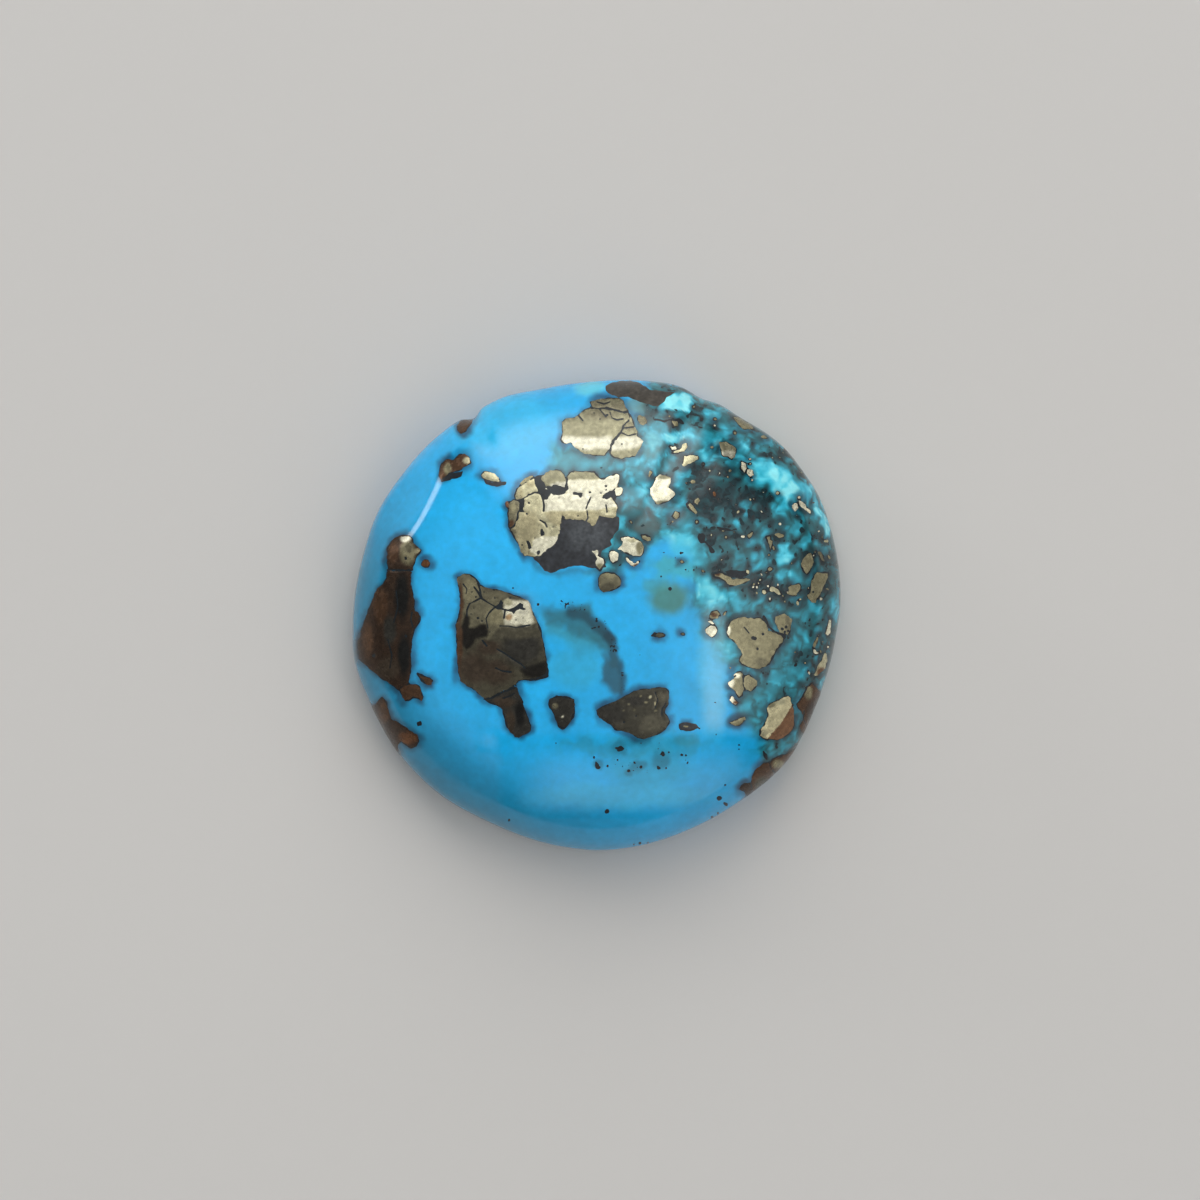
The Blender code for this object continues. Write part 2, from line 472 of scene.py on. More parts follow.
def wander(x, y, size, seed):
    """Return smooth noise in -1..1 with bumps about size pixels wide, on a turned lattice."""
    cos, sin = math.cos(SEED_TURN * seed), math.sin(SEED_TURN * seed)
    x, y = ((x * cos + y * sin) / size + SEED_SHIFT[0] * seed,
            (y * cos - x * sin) / size + SEED_SHIFT[1] * seed)
    column, row = np.floor(x).astype(int), np.floor(y).astype(int)
    s, t = x - column, y - row
    s, t = s * s * (3.0 - 2.0 * s), t * t * (3.0 - 2.0 * t)
    left, right = column % LATTICE_SIZE, (column + 1) % LATTICE_SIZE
    here, after = row % LATTICE_SIZE, (row + 1) % LATTICE_SIZE
    first = LATTICE[here, left] * (1.0 - s) + LATTICE[here, right] * s
    second = LATTICE[after, left] * (1.0 - s) + LATTICE[after, right] * s
    return first * (1.0 - t) + second * t


def shifted(x, y, reach, size, seed):
    """Return places moved by noise up to reach pixels aside, and as far up or down."""
    return x + reach * wander(x, y, size, seed), y + reach * wander(x, y, size, seed + 1)


# Metal grains, each an outline with a colour; shades are softer colours inside it


def grain(outline, metal, shades=(), zones=(), cracks=(), pits=(), holes=(), rough_edge=0.7,
          seam=1.0):
    """Describe one grain.

    Shades are soft ovals (x, y, half width, half height, colour), zones are crisper areas
    (outline, softness, colour), cracks are lines, pits are (x, y, size) and holes are
    outlines. Rough_edge says how much the edge wanders, and seam how broad the dark rim is."""
    return {
        "outline": outline, "metal": metal, "shades": shades, "zones": zones,
        "cracks": cracks, "pits": pits, "holes": holes, "rough_edge": rough_edge, "seam": seam,
    }


def dot(x, y, size, metal=TAN, stretch=1.0, turn=0.0, seam=0.8):
    """Describe one small uneven grain round a pixel."""
    corners = []
    for i in range(DOT_CORNERS):
        angle = math.tau * i / DOT_CORNERS
        reach = size * (1.0 + 0.28 * math.sin(2.3 * i + x) * math.cos(1.7 * i + y))
        a, b = reach * stretch * math.cos(angle), reach * math.sin(angle) / stretch
        corners.append((x + a * math.cos(turn) - b * math.sin(turn),
                        y + a * math.sin(turn) + b * math.cos(turn)))
    return grain(corners, metal, seam=seam, rough_edge=0.2)


CROWN_PATCH = [
    grain([(590, 402), (597, 399), (607, 399), (617, 398), (623, 401), (626, 407), (628, 411),
           (622, 412), (614, 409), (605, 407), (598, 408), (592, 407)], DIM_PEWTER,
          shades=[(612, 401, 9, 4, PEWTER)], cracks=[[(597, 402), (604, 404), (610, 402)]]),
    grain([(562, 422), (566, 419), (574, 418), (579, 415), (584, 410), (590, 408), (598, 409),
           (606, 409), (614, 411), (621, 413), (628, 413), (629, 419), (622, 426), (620, 432),
           (615, 437), (612, 442), (610, 447), (607, 452), (605, 455), (595, 455.5),
           (585, 454), (580, 451), (574, 447), (571, 443), (566, 444), (563, 443), (561, 440),
           (563, 432), (562, 425)], PEWTER,
          zones=[([(555, 436), (580, 437), (612, 437), (612, 450), (600, 449), (586, 450),
                   (570, 447), (558, 445)], 2.6, GLINT),
                 ([(580, 451), (610, 450), (606, 458), (585, 457)], 1.5, PEWTER)],
          shades=[(600, 415, 18, 5, DIM_PEWTER), (575, 424, 9, 6, PEWTER)],
          cracks=[[(596, 405), (601, 411), (606, 417)], [(579, 416), (583, 421)],
                  [(610, 412), (612, 418), (617, 420), (623, 419)]],
          pits=[(607, 415, 1.2), (600, 419, 0.9), (594, 413, 0.8), (583, 449, 0.8)]),
    grain([(630, 415), (634, 424), (635, 428), (638, 431), (637, 436), (640, 438), (643, 441),
           (641, 446), (638, 451), (635, 456), (628, 457), (622, 459), (614, 457), (610, 453),
           (612, 447), (616, 440), (621, 434), (624, 427), (629, 421)], PEWTER,
          zones=[([(612, 437), (640, 437), (646, 443), (636, 448), (622, 449), (608, 451)], 2.4,
                  GLINT)],
          shades=[(630, 426, 6, 5, DIM_PEWTER)],
          cracks=[[(622, 433), (628, 436), (636, 434)], [(618, 427), (626, 428), (633, 427)]],
          pits=[(622, 444, 0.9), (629, 452, 0.8)]),
    grain([(637, 417), (641, 415), (646, 417), (647, 423), (643, 426), (639, 424)], DIM_PEWTER),
]

LOAF_PATCH = [
    grain([(519, 484), (524, 479), (530, 475.5), (533, 475), (534, 476.5), (528, 480.5),
           (522, 485)], TAN, rough_edge=0.3),
    grain([(516, 500), (515, 496), (517, 490), (519, 487), (523, 485), (528, 481), (534, 478.5),
           (535, 483), (537, 488), (538.5, 492), (534, 492.5), (529, 494), (525, 497),
           (521, 499)], BRASS, shades=[(520, 494, 4, 6, SAND), (531, 483, 5, 5, SAND)],
          rough_edge=0.4),
    grain([(542, 476), (545, 473), (550, 470.5), (556, 470), (560, 471), (564, 475), (566, 480),
           (566.5, 483), (564.5, 487), (560, 486), (556, 485), (551, 486), (546, 487),
           (543.5, 482), (541.5, 479)], PEWTER,
          zones=[([(550, 484), (558, 482), (567, 482), (567, 489), (550, 489)], 1.3, GLINT)]),
    grain([(545, 488), (547, 488), (547.5, 490), (545.5, 490)], GLINT, seam=0.4),
    grain([(567.5, 477), (570, 473), (574, 471), (583, 472), (594, 472), (597, 476),
           (600, 479), (604, 480), (608, 477), (612, 476), (616, 474), (619, 475), (618.5, 482),
           (617, 488), (613, 490.5), (609, 491), (604, 495), (602, 498), (606, 499),
           (611, 497), (613, 500), (617, 505), (618, 508), (616.5, 512), (616, 517),
           (613, 518.5), (608, 518), (603, 517), (599, 516), (597, 520), (595.5, 525),
           (593, 526), (589, 523), (586, 521), (580, 520), (572, 519.5), (566, 520),
           (561.5, 519), (562, 523), (560, 524), (560, 530), (558.5, 537), (557, 541),
           (554, 545), (550, 548), (546, 551), (543, 554), (541, 556), (535, 557),
           (528, 555.5), (524, 556), (521, 552), (520, 547), (518, 543), (516, 539),
           (513, 534), (511, 530), (514, 527), (517, 521), (519, 515), (519.5, 510),
           (522, 507), (521.5, 503), (523, 500), (528, 496), (534, 494), (539, 494),
           (542, 496), (544, 499), (548, 500), (549, 496), (551, 492), (554, 495),
           (558, 495.5), (564, 494), (567, 491), (568.5, 489), (567.5, 483)], BRASS,
          zones=[([(566, 470), (600, 470), (600, 479), (566, 480.5)], 1.4, PEWTER),
                 # painted highlight: a white band where the overhead strip is mirrored
                 ([(566, 480.5), (600, 480), (620, 472), (622, 480), (614, 491), (600, 495),
                   (612, 500), (619, 507), (600, 509), (587, 510.5), (544, 511.5),
                   (543, 498), (549, 497), (552, 490), (566, 494)], 1.2, BRIGHT),
                 ([(543, 512), (587, 511.5), (618, 509), (618, 528), (560, 528),
                   (548, 520)], 1.5, SAND),
                 ([(508, 510), (536, 512), (541, 530), (530, 545), (534, 558), (508, 558)], 5.0,
                  SAND),
                 # painted highlight: a cream patch where a lamp is mirrored
                 ([(532, 541), (538, 538), (542, 536.5), (560, 536), (560, 541), (552, 552),
                   (538, 556), (531, 553), (530, 549), (533, 545)], 0.9, CREAM)],
          shades=[(512, 532, 5, 5, OLIVE), (522, 550, 4, 5, TAN), (608, 513, 9, 4, BRASS)],
          cracks=[[(541, 494), (543, 500), (544, 505), (543.5, 511)],
                  [(540, 520), (545, 523), (547, 527)], [(591, 497), (588, 503), (586, 509)],
                  [(587, 511), (588, 518), (586, 521)], [(606, 505), (607, 512)]],
          pits=[(590, 492.5, 1.3), (606, 486, 1.2), (606, 490, 0.9), (578, 516, 1.0),
                (529, 503, 1.0), (527, 514, 1.0), (538, 552.5, 2.2), (535, 538, 1.0),
                (601, 493, 0.9), (592, 498, 0.8), (559, 498, 0.7), (542, 530, 1.1),
                (553, 527, 0.7), (522, 545, 0.9)],
          holes=[[(573, 493), (575, 492), (578, 493), (582, 493), (582, 496), (580, 498),
                  (578, 495), (574, 494.5)],
                 [(526.5, 541), (529, 541), (531, 544), (531, 548), (529, 549), (528, 545)],
                 [(520, 502), (524, 500), (524, 503), (523, 508), (524, 512), (520, 512),
                  (521, 507)],
                 [(541, 529), (544, 532), (544, 535), (541, 536), (540.5, 532)],
                 [(561.5, 515.5), (565, 516.5), (565, 519), (562, 520.5)]]),
    grain([(614.5, 490), (617, 487.5), (621, 487), (623, 489), (622, 493), (620, 496),
           (616, 496)], CREAM, rough_edge=0.3),
    grain([(510, 503), (513, 500), (516, 501), (519.5, 502), (519.5, 508), (517.5, 513),
           (517, 519), (514.5, 524), (511.5, 528), (509.5, 527), (509, 520), (508, 513),
           (509, 508)], OLIVE, shades=[(513, 507, 4, 6, TAN), (511, 524, 4, 4, BROWN)]),
    grain([(505, 503), (508, 501), (509, 505), (508, 508), (506, 507)], COPPER, seam=0.3),
]

BESIDE_LOAF = [
    grain([(592, 551), (597, 550), (599, 552), (598, 556), (604, 559), (605, 563), (602, 566),
           (600, 570), (597, 568), (595, 564), (597, 559), (595, 555)], CREAM,
          shades=[(600, 567, 5, 4, TAN)]),
    grain([(610, 552), (614, 551), (618, 553), (619, 557), (617, 561), (613, 563), (610, 560),
           (609, 556)], CREAM),
    # pale metal, painted bright as a highlight from its tilt toward the lamps
    grain([(621, 538), (627, 537), (634, 538), (638, 540), (642, 543), (644, 547), (643, 552),
           (641, 556), (636, 556), (630, 554), (624, 552), (620, 550), (618, 549), (619, 547),
           (622, 545), (623, 542), (621, 540)], CREAM,
          shades=[(640, 548, 4, 8, TAN), (632, 540, 6, 2.5, BRASS)]),
    grain([(626, 558), (628, 557), (630, 560), (634, 563), (638, 561), (640, 561), (637, 565),
           (634, 567), (631, 566), (628, 563), (626, 560)], CREAM,
          shades=[(636, 565, 4, 2, RUST)]),
    grain([(641, 535), (645, 535), (650, 537), (651, 540), (647, 541), (643, 539)], TAN),
    # pale metal, painted white as a highlight where the overhead strip is mirrored
    grain([(656, 477), (660, 475), (665, 475), (670, 477), (671, 482), (669, 487), (672, 490),
           (676, 494), (673, 498), (668, 501), (661, 504), (656, 504), (653, 499), (650, 494),
           (650, 488), (653, 484), (655, 480)], CREAM,
          shades=[(664, 477, 8, 2.5, PEWTER), (662, 503, 9, 3, PEWTER)]),
    grain([(599, 578), (601, 575), (605, 573), (610, 573), (615, 574), (619, 577), (621, 581),
           (620, 586), (617, 588), (612, 590), (608, 591), (603, 592), (600, 590), (599, 585)],
          OLIVE, shades=[(608, 588, 9, 5, DRAB), (610, 576, 8, 3, TAN)]),
]

# The heart's lower half is dark metal, painted darker still as a dark reflection
HEART_PATCH = [
    grain([(457, 577), (461, 575.5), (465, 573.5), (469, 574.5), (473, 577), (477, 581),
           (480, 585), (484, 587), (490, 588.5), (496, 589.5), (502, 591), (508, 593),
           (515, 596), (522, 598), (528, 600), (530, 603), (531, 607), (533, 613), (536, 620),
           (539, 627), (541, 634), (543, 642), (544.5, 650), (546, 658), (546.5, 666),
           (546, 674), (541, 677), (535, 678.5), (528, 679), (522, 679.5), (518, 681),
           (516, 684), (513, 686), (507, 689), (501, 692), (495, 695), (490, 697.5),
           (485, 698.5), (480, 695), (476, 690), (473, 688), (468, 686), (463, 683.5),
           (460, 680), (459, 674), (458, 667), (457, 660), (457, 650), (457, 640), (456, 632),
           (456, 625), (458, 619), (460, 613), (460, 606), (460, 599), (460, 592), (459, 586),
           (457.5, 581)], DRAB,
          zones=[([(455, 570), (480, 578), (535, 598), (540, 622), (524, 627), (500, 627),
                   (488, 640), (470, 628), (455, 622)], 1.5, OLIVE),
                 ([(484, 585), (530, 599), (532, 606), (500, 601), (487, 596)], 3.0, DRAB),
                 # painted highlight: the bright area where the small lamp is mirrored
                 ([(505, 600), (530, 601), (534, 622), (528, 625), (516, 626), (505, 624),
                   (503, 612)], 2.2, CREAM),
                 ([(465, 613), (469, 617), (470, 628), (475, 628), (480, 624), (486, 624),
                   (490, 631), (487, 637), (480, 638), (475, 641), (472, 648), (466, 650),
                   (461, 643), (460, 636), (461, 628), (463, 620)], 1.8, CHAR),
                 ([(520, 668), (532, 664), (549, 660), (549, 677), (534, 679), (523, 677)], 2.5,
                  CHAR)],
          shades=[(470, 590, 9, 12, TAN), (478, 610, 8, 9, OLIVE), (495, 616, 10, 9, TAN),
                  (497, 596, 10, 5, OLIVE), (460, 602, 4, 22, BROWN), (459, 650, 4, 34, BROWN),
                  (474, 668, 16, 18, SEPIA), (496, 672, 18, 14, SEPIA), (489, 648, 14, 8, SEPIA),
                  (522, 648, 22, 20, IRON), (520, 634, 18, 6, DRAB), (508, 602, 5, 4, BRASS),
                  # (524, 612) is a painted highlight
                  (509, 617, 4, 4, AMBER), (524, 612, 5, 4, BRIGHT)],
          cracks=[[(497, 649), (505, 653.5), (513, 659), (521, 664), (525, 668)],
                  [(463, 584), (467, 589), (466, 594)],
                  [(474, 587), (478, 592), (481, 598), (487, 602), (494, 606)],
                  [(469, 604), (475, 601), (481, 598)], [(470, 603), (467, 610), (467, 616)],
                  [(494, 608), (489, 613), (486, 619), (488, 628)], [(502, 609), (511, 611)],
                  [(505, 611), (504, 618)], [(500, 626), (508, 626), (516, 627.5), (530, 625)],
                  [(496, 668), (502, 671), (511, 672)], [(482, 640), (487, 646)],
                  [(478, 583), (480, 590), (482, 597)]],
          pits=[(504, 617, 1.1), (494, 590, 0.9), (495, 598, 0.9), (484, 592, 0.9),
                (472, 592, 0.8), (476, 597, 0.8), (510, 598, 0.9), (507, 604, 0.8),
                (516, 620, 0.7), (523, 618, 0.7), (478, 618, 1.2), (482, 621, 1.0),
                (471, 614, 0.8), (490, 632, 0.8), (496, 636, 0.8), (474, 608, 0.8)],
          holes=[[(494, 607), (498, 605), (501, 600), (503, 603), (502, 609), (498, 609.5)],
                 [(508, 610), (513, 608), (517, 605.5), (520, 603), (523, 604.5), (522, 607.5),
                  (526, 609), (523, 610), (520, 608.5), (517, 610), (514, 614), (512, 612)]]),
    grain([(484, 700), (489, 699.6), (495, 697), (501, 694), (508, 690.8), (514, 688),
           (517, 686.5), (518, 692), (521, 698), (523, 704), (525, 710), (527, 716), (529, 722),
           (531, 726), (530, 731), (526, 734), (519, 738), (515, 737), (511, 733), (508, 728),
           (506, 722), (505, 716), (502, 710), (498, 706), (493, 703)], IRON,
          shades=[(504, 702, 12, 6, SEPIA), (510, 722, 5, 14, SEPIA), (520, 714, 5, 14, JET)],
          cracks=[[(503, 698), (510, 696), (515, 693)]]),
]

# Dark metal, painted darker still as a dark reflection
LOW_PATCH = [
    grain([(597, 710), (602, 707), (609, 704), (616, 701), (622, 698), (627, 695), (633, 692),
           (640, 690), (647, 689), (654, 688.5), (660, 687.5), (665, 688), (668, 691),
           (669, 697), (668, 703), (665, 708), (664, 713), (668, 717), (669, 722), (667, 725),
           (665, 729), (661, 732), (655, 735), (650, 737), (644, 739), (638, 738), (633, 735),
           (627, 732), (621, 731), (616, 729), (611, 725), (606, 722), (601, 719), (598, 715)],
          GUNMETAL,
          shades=[(612, 713, 17, 12, IRON), (652, 724, 14, 10, LODEN),
                  (661, 697, 6, 6, KHAKI), (636, 701, 12, 6, IRON),
                  # painted glints: tiny bright spots
                  (650, 697, 2.2, 1.2, BRASS), (646, 702, 1.4, 1.1, TAN),
                  (655, 703, 1.2, 1.9, SAND), (656, 711, 1.2, 1.0, TAN),
                  (640, 696, 1.2, 0.9, TAN), (629, 704, 1.5, 1.0, OLIVE),
                  (634, 710, 1.5, 1.1, OLIVE), (624, 711, 1.1, 1.0, OLIVE)],
          cracks=[[(666, 703), (662, 709), (662, 716)], [(655, 692), (658, 700), (655, 708)]],
          pits=[(636, 716, 1.2), (624, 722, 1.0)]),
    grain([(549, 699), (553, 697), (560, 696.5), (568, 698), (574, 700), (575, 705), (574, 711),
           (572, 717), (571, 722), (567, 726), (563, 728), (558, 725), (556, 720), (554, 714),
           (551, 709), (549, 704)], IRON,
          # (562.5, 716.5) is a painted glint
          shades=[(555, 706, 3, 3, OLIVE), (562.5, 716.5, 1.3, 1.3, CREAM)], seam=1.5),
]

FAR_LEFT_PATCH = [
    grain([(392, 541), (395, 538), (400, 536), (405, 535.5), (409, 536), (412, 539), (414, 543),
           (418, 547), (421, 550), (420, 553), (417, 556), (415, 559), (414, 564), (413, 569),
           (405, 569.5), (396, 569), (388, 569), (387, 563), (387, 556), (388, 549),
           (390, 544)], UMBER,
          shades=[(408, 553, 8, 12, TAN), (406, 539, 6, 3.5, GLINT), (393, 552, 6, 12, BROWN),
                  (417, 551, 4, 3, SAND), (408, 548, 5, 5, OLIVE)],
          pits=[(406, 558, 1.6)]),
    grain([(388, 570.5), (396, 571), (405, 571), (412, 571), (411, 576), (411, 582), (412, 588),
           (413, 594), (414, 600), (414, 607), (415, 611), (418, 612), (420, 616), (419, 621),
           (417, 625), (415, 628), (413, 633), (412, 640), (412, 648), (411, 656), (411, 662),
           (411, 668), (410, 676), (408, 683), (403, 687), (398, 689), (394, 686), (389, 683),
           (384, 680), (378, 676), (372, 671), (366, 665), (360, 658), (358, 650), (358, 642),
           (360, 634), (363, 625), (366, 617), (369, 609), (372, 601), (375, 593), (378, 588),
           (382, 585), (386, 580)], UMBER,
          shades=[(402, 596, 8, 26, JET), (404, 655, 7, 24, JET), (381, 606, 7, 20, BROWN),
                  (368, 640, 6, 18, BROWN), (388, 668, 12, 12, SEPIA), (390, 630, 7, 16, IRON)],
          cracks=[[(396, 590), (398, 606), (394, 622)], [(388, 640), (392, 655), (390, 668)],
                  [(412, 612), (411, 620), (413, 627)]],
          pits=[(374, 655, 1.8), (400, 612, 1.2), (406, 636, 1.3)]),
    grain([(400, 689), (404, 686), (410, 684), (416, 684), (420, 687), (421, 692), (423, 697),
           (422, 701), (418, 698), (413, 697), (409, 700), (405, 701), (402, 697)], BROWN),
    grain([(418, 674), (423, 676), (430, 678), (433, 681), (431, 685), (427, 685), (423, 681)],
          BROWN, seam=1.6),
    dot(425.5, 563, 4.0, RUST, seam=0.9),
    grain([(379, 700), (382, 697), (386, 702), (389, 711), (391, 719), (397, 722), (404, 726),
           (411, 731), (417, 735), (419, 740), (416, 746), (411, 748), (406, 745), (401, 741),
           (398, 745), (398, 752), (395, 759), (386, 762), (372, 744), (364, 722), (368, 708),
           (374, 706)], UMBER,
          shades=[(408, 738, 10, 7, RUST), (384, 712, 6, 12, BROWN)]),
    grain([(459, 422), (463, 418), (468, 414), (475, 411), (474, 417), (471, 425), (466, 431),
           (461, 434), (457, 430), (457, 426)], BROWN),
    grain([(441, 464), (447, 459), (453, 460), (459, 455), (465, 454), (470, 458), (471, 463),
           (466, 466), (461, 469), (457, 471), (450, 472), (445, 477), (441, 480), (439, 476),
           (440, 470)], BROWN, shades=[(468, 461, 5, 4, BRASS), (448, 469, 4, 6, TAN)]),
    grain([(481, 475), (484, 471), (489, 472), (495, 474), (499, 478), (500, 482), (494, 482),
           (488, 480), (483, 478)], BRASS),
]

RIGHT_PATCHES = [
    grain([(727, 631), (728, 627), (730, 623), (733, 620), (737, 618), (743, 617), (750, 618),
           (756, 618), (761, 618), (764, 621), (766, 625), (768, 630), (772, 632), (777, 633),
           (781, 636), (784, 639), (781, 643), (778, 647), (776, 651), (773, 655), (771, 660),
           (769, 664), (765, 667), (760, 669), (753, 668), (747, 666), (742, 664), (739, 661),
           (740, 657), (742, 654), (741, 650), (738, 647), (735, 643), (732, 639), (729, 637),
           (727, 634)], TAN,
          # painted highlight: the cream along the grain's left edge
          shades=[(728, 631, 2.5, 6, CREAM), (741, 627, 7, 6, TAN), (761, 662, 7, 5, OLIVE)],
          cracks=[[(744, 627), (749, 633)]],
          pits=[(753, 638, 1.7), (755, 638.5, 1.6), (763, 634, 1.3), (757.5, 649, 1.5)]),
    grain([(775, 617), (779, 615), (784, 614), (789, 616), (792, 620), (791, 626), (790, 630),
           (788, 635), (784, 634), (780, 632), (777, 627), (775, 622)], TAN,
          shades=[(788, 625, 3, 8, OLIVE)],
          pits=[(782, 629, 1.5), (786, 627, 1.3), (785, 632, 1.2), (788, 631, 1.0)]),
    grain([(705, 630), (707, 627), (711, 625), (716, 627), (717, 631), (715, 635), (712, 637),
           (709, 636), (706, 633)], CREAM),
    grain([(709, 616), (712, 612), (717, 611), (720, 614), (718, 618), (714, 619), (710, 618)],
          TAN, shades=[(714, 615, 4, 3, BROWN)]),
    grain([(706, 620), (711, 620), (715, 624), (713, 624.5), (709, 622.5)], CREAM, seam=0.5),
    grain([(722, 616), (724, 612), (727, 611), (725, 615)], TAN, seam=0.5),
    grain([(714, 574), (718, 573), (723, 574), (728, 576), (733, 579), (740, 579), (746, 578),
           (751, 579), (747, 582), (741, 584), (735, 586), (730, 585), (725, 582), (720, 578),
           (715, 576)], TAN, shades=[(717, 574, 4, 3, BROWN)]),
    grain([(728, 683), (731, 680), (734, 678), (733, 675), (736, 673), (740, 672), (742.5, 674),
           (742, 679), (743, 684), (744, 690), (742, 695), (739, 697), (736, 694), (733, 689),
           (730, 687)], TAN, shades=[(731, 683, 4, 6, CREAM), (737, 675, 4, 3, CREAM)],
          pits=[(735, 676, 1.1)]),
    grain([(744, 676), (748, 675), (753, 677), (757, 681), (757, 685), (754, 688), (750, 691),
           (746, 690), (744, 685), (743.5, 680)], TAN),
    grain([(730, 697), (732, 696), (735, 700), (739, 703), (736, 705), (732, 703), (730, 700)],
          CREAM, shades=[(736, 703, 4, 2, RUST)]),
    grain([(729, 723), (734, 721), (740, 718), (745, 716.5), (746, 719), (742, 722), (739, 726),
           (735, 726), (731, 724)], TAN),
    grain([(767, 709), (768, 705), (773, 702), (779, 700), (784, 697), (788, 696), (791, 698),
           (790, 701), (792, 705), (786, 715), (780, 724), (773, 732), (767, 739), (763, 738),
           (760, 735), (761, 730), (764, 725), (767, 719), (768, 714)], GOLD,
          shades=[(771, 704, 5, 4, TAN), (764, 733, 4, 4, BRASS), (780, 702, 6, 4, BRASS)]),
    grain([(792, 705), (794, 710), (794, 718), (794, 725), (792, 730), (788, 734), (783, 738),
           (777, 740), (770, 739), (767, 739), (773, 732), (780, 724), (786, 715)],
          BRONZE, rough_edge=0.15, seam=0.5),
    grain([(797, 704), (801, 699), (805, 692), (809, 686), (812, 683), (816, 687), (820, 692),
           (824, 697), (824, 706), (820, 718), (814, 730), (807, 737), (801, 731), (800, 726),
           (803, 720), (803, 714), (801, 711), (798, 708)], BROWN,
          shades=[(812, 712, 7, 14, UMBER), (808, 692, 5, 7, TAN)],
          cracks=[[(804, 711), (803, 719), (806, 725)]]),
    grain([(797, 747), (791, 751), (785, 755), (778, 757), (773, 759), (769, 764), (776, 775),
           (790, 780), (805, 765), (806, 752)], BROWN, shades=[(778, 764, 6, 5, TAN)]),
    grain([(768, 763), (765, 763), (761, 765), (757, 768), (754, 772), (752, 777), (751, 783),
           (754, 792), (764, 800), (780, 788), (774, 774)], BROWN,
          shades=[(762, 784, 8, 8, DRAB)]),
    grain([(749, 783), (745, 783), (741, 786), (740, 789), (745, 791), (747, 797), (748, 804),
           (757, 802), (754, 792)], UMBER),
    grain([(801, 563), (803, 559), (807, 554), (810, 553), (812, 556), (814, 562), (812, 567),
           (809, 571), (807, 574), (804, 571), (802, 567)], TAN),
    grain([(817, 572), (822, 573), (828, 573), (827, 579), (825, 584), (822, 590), (819, 596),
           (816, 602), (812, 602), (808, 598), (807, 596), (810, 593), (811, 587), (812, 581),
           (814, 576)], TAN, pits=[(813, 592, 1.4)]),
    grain([(817, 551), (821, 551), (823, 556), (824, 562), (821, 560), (819, 555)], OLIVE),
    grain([(829, 619), (831, 620), (831, 626), (830, 632), (828, 636), (825, 633), (827, 627)],
          CREAM),
    grain([(786, 594), (789, 590), (788, 587), (791, 585), (796, 585), (799, 584), (801, 587),
           (800, 590), (797, 593), (796, 596), (792, 596), (788, 595)], TAN),
    grain([(769, 591), (771, 586), (774, 587), (778, 590), (781, 594), (778, 595), (773, 592)],
          BRASS),
    grain([(766, 537), (770, 536), (771, 540), (773, 541), (771, 546), (770, 551), (769, 546),
           (768, 541)], TAN),
    grain([(774, 534), (778, 533), (783, 534), (784, 537), (779, 538), (774, 536)], TAN),
    grain([(747, 534), (753, 532), (752, 536), (749, 539), (747, 537)], TAN),
    grain([(793, 503), (797, 503), (798, 508), (795, 512), (792, 508)], CREAM),
    # painted highlight, drawn as a cream grain: a streak where the rim catches the light
    grain([(799, 500), (803, 502), (806, 506), (810, 510), (811, 514), (806, 511), (802, 508),
           (799, 504)], CREAM),
    grain([(812, 648), (815, 650), (819, 653), (816, 655), (813, 653)], CREAM),
    grain([(819, 634), (818, 640), (816, 646), (814, 649), (813, 645), (816, 639)], TAN),
    grain([(825, 652), (827, 655), (827, 662), (825, 668), (821, 672), (818, 676), (814, 675),
           (816, 670), (819, 664), (822, 658)], BRASS, shades=[(822, 672, 6, 5, RUST)]),
    grain([(687, 504), (690, 503), (694, 507), (697, 512), (696, 515), (693, 512), (689, 508)],
          TAN),
    grain([(672, 516), (675, 511), (679, 513), (679, 517), (676, 519), (673, 517)], TAN),
    grain([(694, 500), (698, 498), (700, 501), (697, 505), (694, 503)], TAN),
    grain([(719, 442), (726, 442), (733, 445), (737, 449), (735, 456), (732, 460), (728, 457),
           (723, 457), (721, 450)], PEWTER, shades=[(728, 454, 8, 4, GLINT)]),
    grain([(672, 453), (676, 450), (682, 448), (682, 444), (687, 443), (688, 447), (684, 451),
           (678, 453)], BRASS),
    grain([(684, 460), (684, 456), (691, 455), (698, 456), (699, 459), (694, 462), (688, 464),
           (684, 467), (682, 465)], BRASS),
    grain([(669, 446), (676, 447), (677, 449), (672, 450)], CREAM),
    grain([(672, 420), (678, 421), (678, 426), (673, 427)], TAN),
    grain([(648, 477), (650, 470), (653, 472), (650, 477)], TAN),
    grain([(733, 417), (738, 417), (745, 421), (752, 425), (755, 429), (748, 429), (742, 429),
           (737, 423)], TAN),
    grain([(741, 461), (746, 463), (747, 469), (744, 473), (741, 468)], CREAM),
    grain([(747, 469), (752, 470), (754, 475), (750, 477), (747, 473)], CREAM),
]

